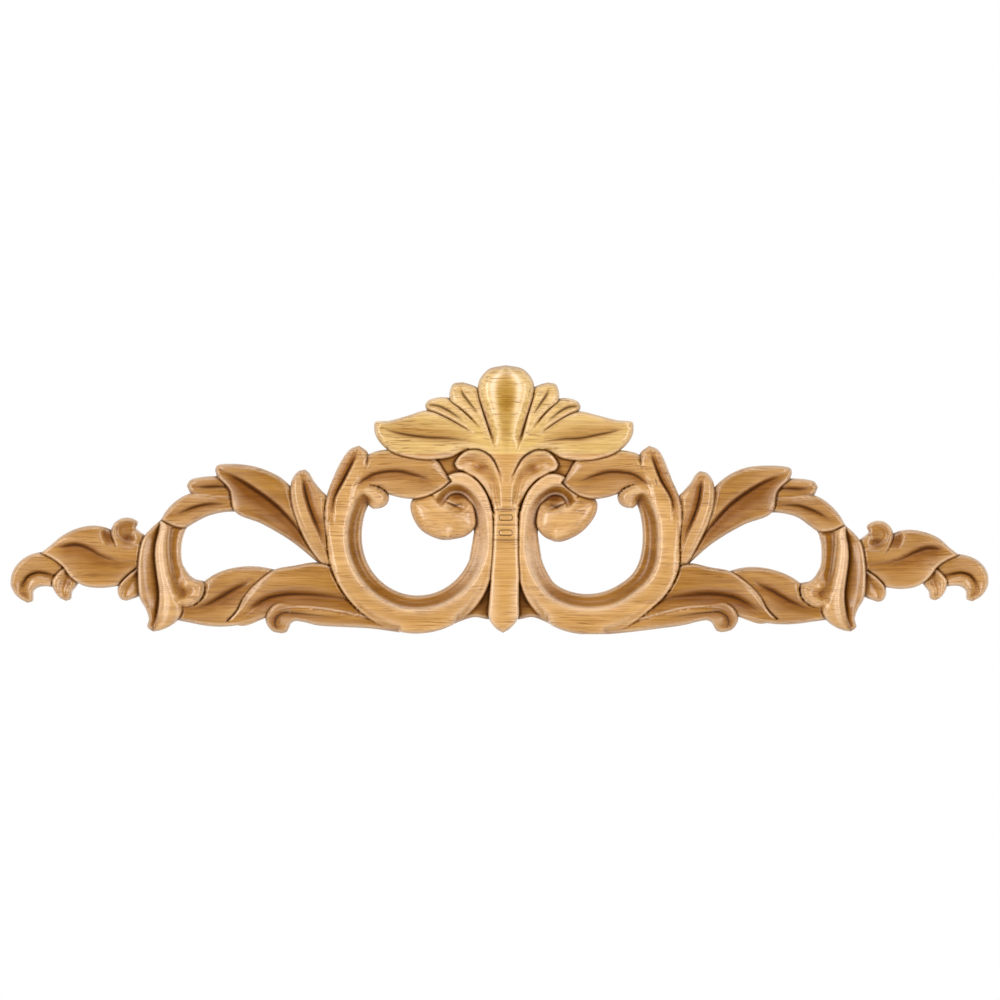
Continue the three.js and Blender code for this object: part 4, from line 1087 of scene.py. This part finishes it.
# Rubberwood or a like pale hardwood, carved with the grain along X, then stained and varnished. Seen
# from near it shows short dark pores, faint growth bands, a darker tone where the surface lies lower,
# dark lines in the cuts that are partly painted shade, painted shade in the veins, dents, recesses,
# coves and along the rim, painted highlights and a painted sheen on the edges, ridges, heights and
# coves, and a varnish that is wiped thin in the hollows, so that they look duller. The back and the
# walls are bare and sawn.
def carvedWood(name, look):
    material = bpy.data.materials.new(name)
    material.use_nodes = True
    tree = material.node_tree
    tree.nodes.clear()
    tint = {label: addNode(tree, "ShaderNodeAttribute", {"attribute_name": label}, "Fac") for label in tints}
    place = addNode(tree, "ShaderNodeTexCoord", {}, "Object")
    bend = addNode(tree, "ShaderNodeTexNoise", {}, "Color", Vector=place, Scale=1000 / look["bendSize"],
                   Detail=2.0)
    bendReach = look["bendReach"] / 1000
    shifted = addNode(tree, "ShaderNodeVectorMath", {"operation": "MULTIPLY_ADD"}, i0=bend,
                      i1=(0.0, bendReach, bendReach), i2=place)

    # Each pattern's sizes along the grain, into the board and across the grain, in millimetres.
    noise = {}
    for label, (sizes, detail, roughness) in look["patterns"].items():
        source = place if label == "teeth" else shifted
        scale = [1000 / size for size in sizes]
        stretched = addNode(tree, "ShaderNodeMapping", {}, Vector=source, Scale=scale)
        noise[label] = addNode(tree, "ShaderNodeTexNoise", {}, Vector=stretched, Scale=1.0, Detail=detail,
                               Roughness=roughness)

    # Values that run from 0 to 1 between two levels of their source, then joined in pairs.
    ranges = {
        "pores": [noise["pores"], 0.56, 0.66], "patches": [noise["patches"], 0.38, 0.58],
        "sawn": [tint["carved"], 0.5, 0.0], "sunk": [tint["recess"], 0.05, 0.6],
        "hollow": [tint["shade"], 0.1, 0.9],
    }
    part = {}
    for label, (source, low, high) in ranges.items():
        part[label] = addNode(tree, "ShaderNodeMapRange", {}, Value=source, From_Min=low, From_Max=high)
    for label, operation, first, second in (("pores", "MULTIPLY", part["pores"], part["patches"]),
                                            ("sawMarks", "MULTIPLY", part["sawn"], noise["teeth"]),
                                            ("dull", "MAXIMUM", part["sunk"], part["hollow"])):
        part[label] = addNode(tree, "ShaderNodeMath", {"operation": operation}, i0=first, i1=second)

    # The colour from the wood up, one layer over another: what steers it, between which two levels,
    # how strong it is at each, what that is multiplied by, its colour and its way of mixing.
    layers = [
        [noise["bands"], 0.3, 0.7, 0.0, 1.0, None, "deep", "MIX"],
        [noise["fibres"], 0.4, 0.68, 0.0, look["fibreStrength"], None, "fibre", "MIX"],
        # stain, with the painted shade of the coves and of the palmette's flute laid in
        [noise["wiped"], 0.3, 0.65, 0.7, 1.1, tint["stainAndShade"], "stainAndShade", "MULTIPLY"],
        # darker where the surface lies lower
        [tint["level"], 0.84, 0.6, 0.0, look["darkInLows"], None, "shadeTone", "MULTIPLY"],
        # painted shade in the veins' hollows and in the soft dents
        [tint["shade"], 0.1, 1.2, 0.0, look["shadeInVeins"], None, "shadeTone", "MULTIPLY"],
        # painted shade where the surface sinks below its broad form
        [tint["recess"], 0.05, 0.9, 0.0, look["shadeInHollows"], None, "shadeTone", "MULTIPLY"],
        # painted highlight where the surface stands above its broad form
        [tint["recess"], -0.1, -0.8, 0.0, look["highlightOnHeights"], None, "highlightTint", "MIX"],
        # painted highlights beside grooves, along ridges and on streaks, and a painted sheen in coves
        [tint["pale"], 0.0, 2.0, 0.0, 2 * look["highlightOnEdges"], None, "highlightTint", "MIX"],
        # painted shade along the rounded outer edge
        [tint["rim"], 0.25, 0.75, 0.0, look["rimShade"], None, "rimColour", "MIX"],
        [noise["teeth"], 0.35, 0.7, *look["sawnTint"], part["sawn"], "sawn", "MIX"],
        [part["pores"], 0.0, 1.0, 0.0, look["poreStrength"], None, "pore", "MIX"],
        # dark lines in the cuts, partly painted shade
        [tint["line"], 0.35, 1.0, 0.0, look["darkAndShadeInCuts"], None, "cutDarkAndShade", "MIX"],
    ]
    colour = linear(look["pale"])
    for source, low, high, least, most, times, layerColour, blend in layers:
        amount = addNode(tree, "ShaderNodeMapRange", {}, Value=source, From_Min=low, From_Max=high,
                         To_Min=least, To_Max=most)
        if times is not None:
            amount = addNode(tree, "ShaderNodeMath", {"operation": "MULTIPLY", "use_clamp": True}, i0=amount,
                             i1=times)
        colour = addNode(tree, "ShaderNodeMix", {"data_type": "RGBA", "blend_type": blend}, 2, i0=amount,
                         i6=colour, i7=linear(look[layerColour]))

    # The fine relief: pores sunk in, fibres and saw marks raised.
    relief = 0.0
    for label, strength in look["relief"].items():
        source = {**noise, **part}[label]
        relief = addNode(tree, "ShaderNodeMath", {"operation": "MULTIPLY_ADD"}, i0=source, i1=strength,
                         i2=relief)
    bump = addNode(tree, "ShaderNodeBump", {}, Strength=look["grainRelief"],
                   Distance=look["poreDepth"] / 1000, Height=relief)
    polish = addNode(tree, "ShaderNodeMapRange", {}, Value=part["dull"], To_Min=look["coat"][0],
                     To_Max=look["coat"][1])
    surface = addNode(tree, "ShaderNodeBsdfPrincipled", {}, Base_Color=colour, Normal=bump,
                      Roughness=look["roughness"], Specular_IOR_Level=look["gloss"], Coat_Weight=polish,
                      Coat_Roughness=look["coatRoughness"])
    addNode(tree, "ShaderNodeOutputMaterial", {}, Surface=surface)
    return material


# What a user would change on the lower board. The patterns give three sizes in millimetres, then the
# noise's detail and roughness. Real pores are about 0.1 mm across, and are drawn coarser to show.
scrollLook = {
    "pale": "dab074", "deep": "c29754", "fibre": "99672d", "fibreStrength": 0.5,
    "pore": "6f4118", "poreStrength": 0.62, "poreDepth": 0.06,
    # The brown laid in veins, dents and recesses, and the rim colour, are painted shade; the pale laid on
    # edges, ridges and heights is painted highlight; the cut colour is partly painted shade.
    "stainAndShade": "b8a038", "shadeTone": "b68d46", "darkInLows": 0.15, "shadeInVeins": 0.7, "shadeInHollows": 0.7,
    "cutDarkAndShade": "3d200b", "darkAndShadeInCuts": 0.92, "highlightTint": "f3d9bd", "highlightOnHeights": 0.24,
    "highlightOnEdges": 0.52, "rimColour": "b8a287", "rimShade": 0.4, "sawn": "cda878", "sawnTint": (0.35, 0.75),
    "bendSize": 35.7, "bendReach": 3.0,
    "patterns": {
        "bands": [(60, 6, 2.4), 3.0, 0.55], "fibres": [(18, 1.125, 0.45), 2.0, 0.5],
        "pores": [(6.5, 0.675, 0.27), 1.0, 0.5], "patches": [(22, 15, 6), 2.0, 0.5],
        "wiped": [(30, 22.5, 9), 3.0, 0.5], "teeth": [(1.6, 33.3, 71.4), 2.0, 0.5],
    },
    "relief": {"pores": -1.0, "fibres": 0.35, "sawMarks": 2.5}, "grainRelief": 0.2,
    "roughness": 0.55, "gloss": 0.12, "coat": (1.0, 0.25), "coatRoughness": 0.25,
}
# What a user would change on the crest board: the same wood, paler and yellower.
crestLook = {**scrollLook, "pale": "e8ca8f", "deep": "d3b46b", "fibre": "a8823f"}

for board, node, slot, look in ((crest, "crest_board", "crest_wood", crestLook),
                                (scroll, "scroll_board", "scroll_wood", scrollLook)):
    board.data.materials.append(carvedWood(slot, look))
    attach(board, "root")
    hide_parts(node)
print("boards dressed")

# The studio: a pale round floor well below, soft light from both sides in front and from above, and a
# near-white room. A light has its spot, its width and height in metres, its watts and its colour, and
# turnOver is how far the room takes to turn from the front light to the back light.
studio = {
    "floor": "f8f8f7", "floorHeight": -0.9, "floorRadius": 2.0, "floorRoughness": 0.9, "floorCorners": 96,
    "room": "ffffff", "frontLight": 0.14, "backLight": 1.4, "turnOver": 0.5, "backdrop": 1.0,
    "lights": {
        "stripLeft": [(-0.9, -0.95, 0.25), (0.35, 1.3), 14.7, "fff7ef"],
        "stripRight": [(0.9, -0.95, 0.1), (0.35, 1.3), 12.3, "fff7ef"],
        "topSoft": [(0.0, -0.6, 1.0), (0.7, 0.4), 3.4, "ffffff"],
    },
    "cameraDistance": 2.6, "frameSize": 1000, "sensorWidth": 36, "carvedPlane": -0.005, "clipEnd": 20,
}

# Soft boxes aimed at the carving.
for name, (spot, size, power, colour) in studio["lights"].items():
    light = bpy.data.lights.new(name, "AREA")
    light.shape = "RECTANGLE"
    light.size, light.size_y = size
    light.energy = power
    light.color = linear(colour)[:3]
    lamp = bpy.data.objects.new(name, light)
    lamp.location = spot
    lamp.rotation_euler = (-Vector(spot)).to_track_quat("-Z", "Y").to_euler()
    bpy.context.scene.collection.objects.link(lamp)

# The floor, one polygon whose corners are radius (cos turn, sin turn).
turn = np.linspace(0, 2 * math.pi, studio["floorCorners"], endpoint=False)
corners = studio["floorRadius"] * np.column_stack([np.cos(turn), np.sin(turn), 0 * turn])
floorMesh = bpy.data.meshes.new("floor")
floorMesh.from_pydata(corners.tolist(), [], [list(range(len(turn)))])
floor = bpy.data.objects.new("floor", floorMesh)
floor.location = (0, 0, studio["floorHeight"])
bpy.context.scene.collection.objects.link(floor)
floorPaint = bpy.data.materials.new("floorPaint")
floorPaint.use_nodes = True
floorInputs = floorPaint.node_tree.nodes["Principled BSDF"].inputs
floorInputs["Base Color"].default_value = linear(studio["floor"])
floorInputs["Roughness"].default_value = studio["floorRoughness"]
floorMesh.materials.append(floorPaint)

# The room: dim on the viewer's side, bright behind the carving, and plain where the camera sees it.
world = bpy.data.worlds.new("room")
world.use_nodes = True
bpy.context.scene.world = world
tree = world.node_tree
tree.nodes.clear()
direction = addNode(tree, "ShaderNodeTexCoord", {}, "Generated")
depthways = addNode(tree, "ShaderNodeSeparateXYZ", {}, "Y", Vector=direction)
towardsBack = addNode(tree, "ShaderNodeMapRange", {}, Value=depthways, From_Min=-studio["turnOver"],
                      From_Max=studio["turnOver"], To_Min=studio["frontLight"], To_Max=studio["backLight"])
seen = addNode(tree, "ShaderNodeLightPath", {}, "Is Camera Ray")
strength = addNode(tree, "ShaderNodeMapRange", {}, Value=seen, To_Min=towardsBack, To_Max=studio["backdrop"])
background = addNode(tree, "ShaderNodeBackground", {}, Color=linear(studio["room"]), Strength=strength)
addNode(tree, "ShaderNodeOutputWorld", {}, Surface=background)
bpy.context.scene.view_settings.view_transform = "Standard"

# The camera looks straight at the front from far away, so that one pixel is one unit of the pattern.
cameraData = bpy.data.cameras.new("camera")
cameraData.sensor_width = studio["sensorWidth"]
cameraData.lens = studio["sensorWidth"] * studio["cameraDistance"] / (studio["frameSize"] * unit / 1000)
cameraData.clip_end = studio["clipEnd"]
camera = bpy.data.objects.new("camera", cameraData)
camera.location = ((studio["frameSize"] / 2 - pattern["middle"]) * unit / 1000,
                   studio["carvedPlane"] - studio["cameraDistance"], 0)
camera.rotation_euler = (math.pi / 2, 0, 0)
bpy.context.scene.collection.objects.link(camera)
bpy.context.scene.camera = camera
print("studio set")
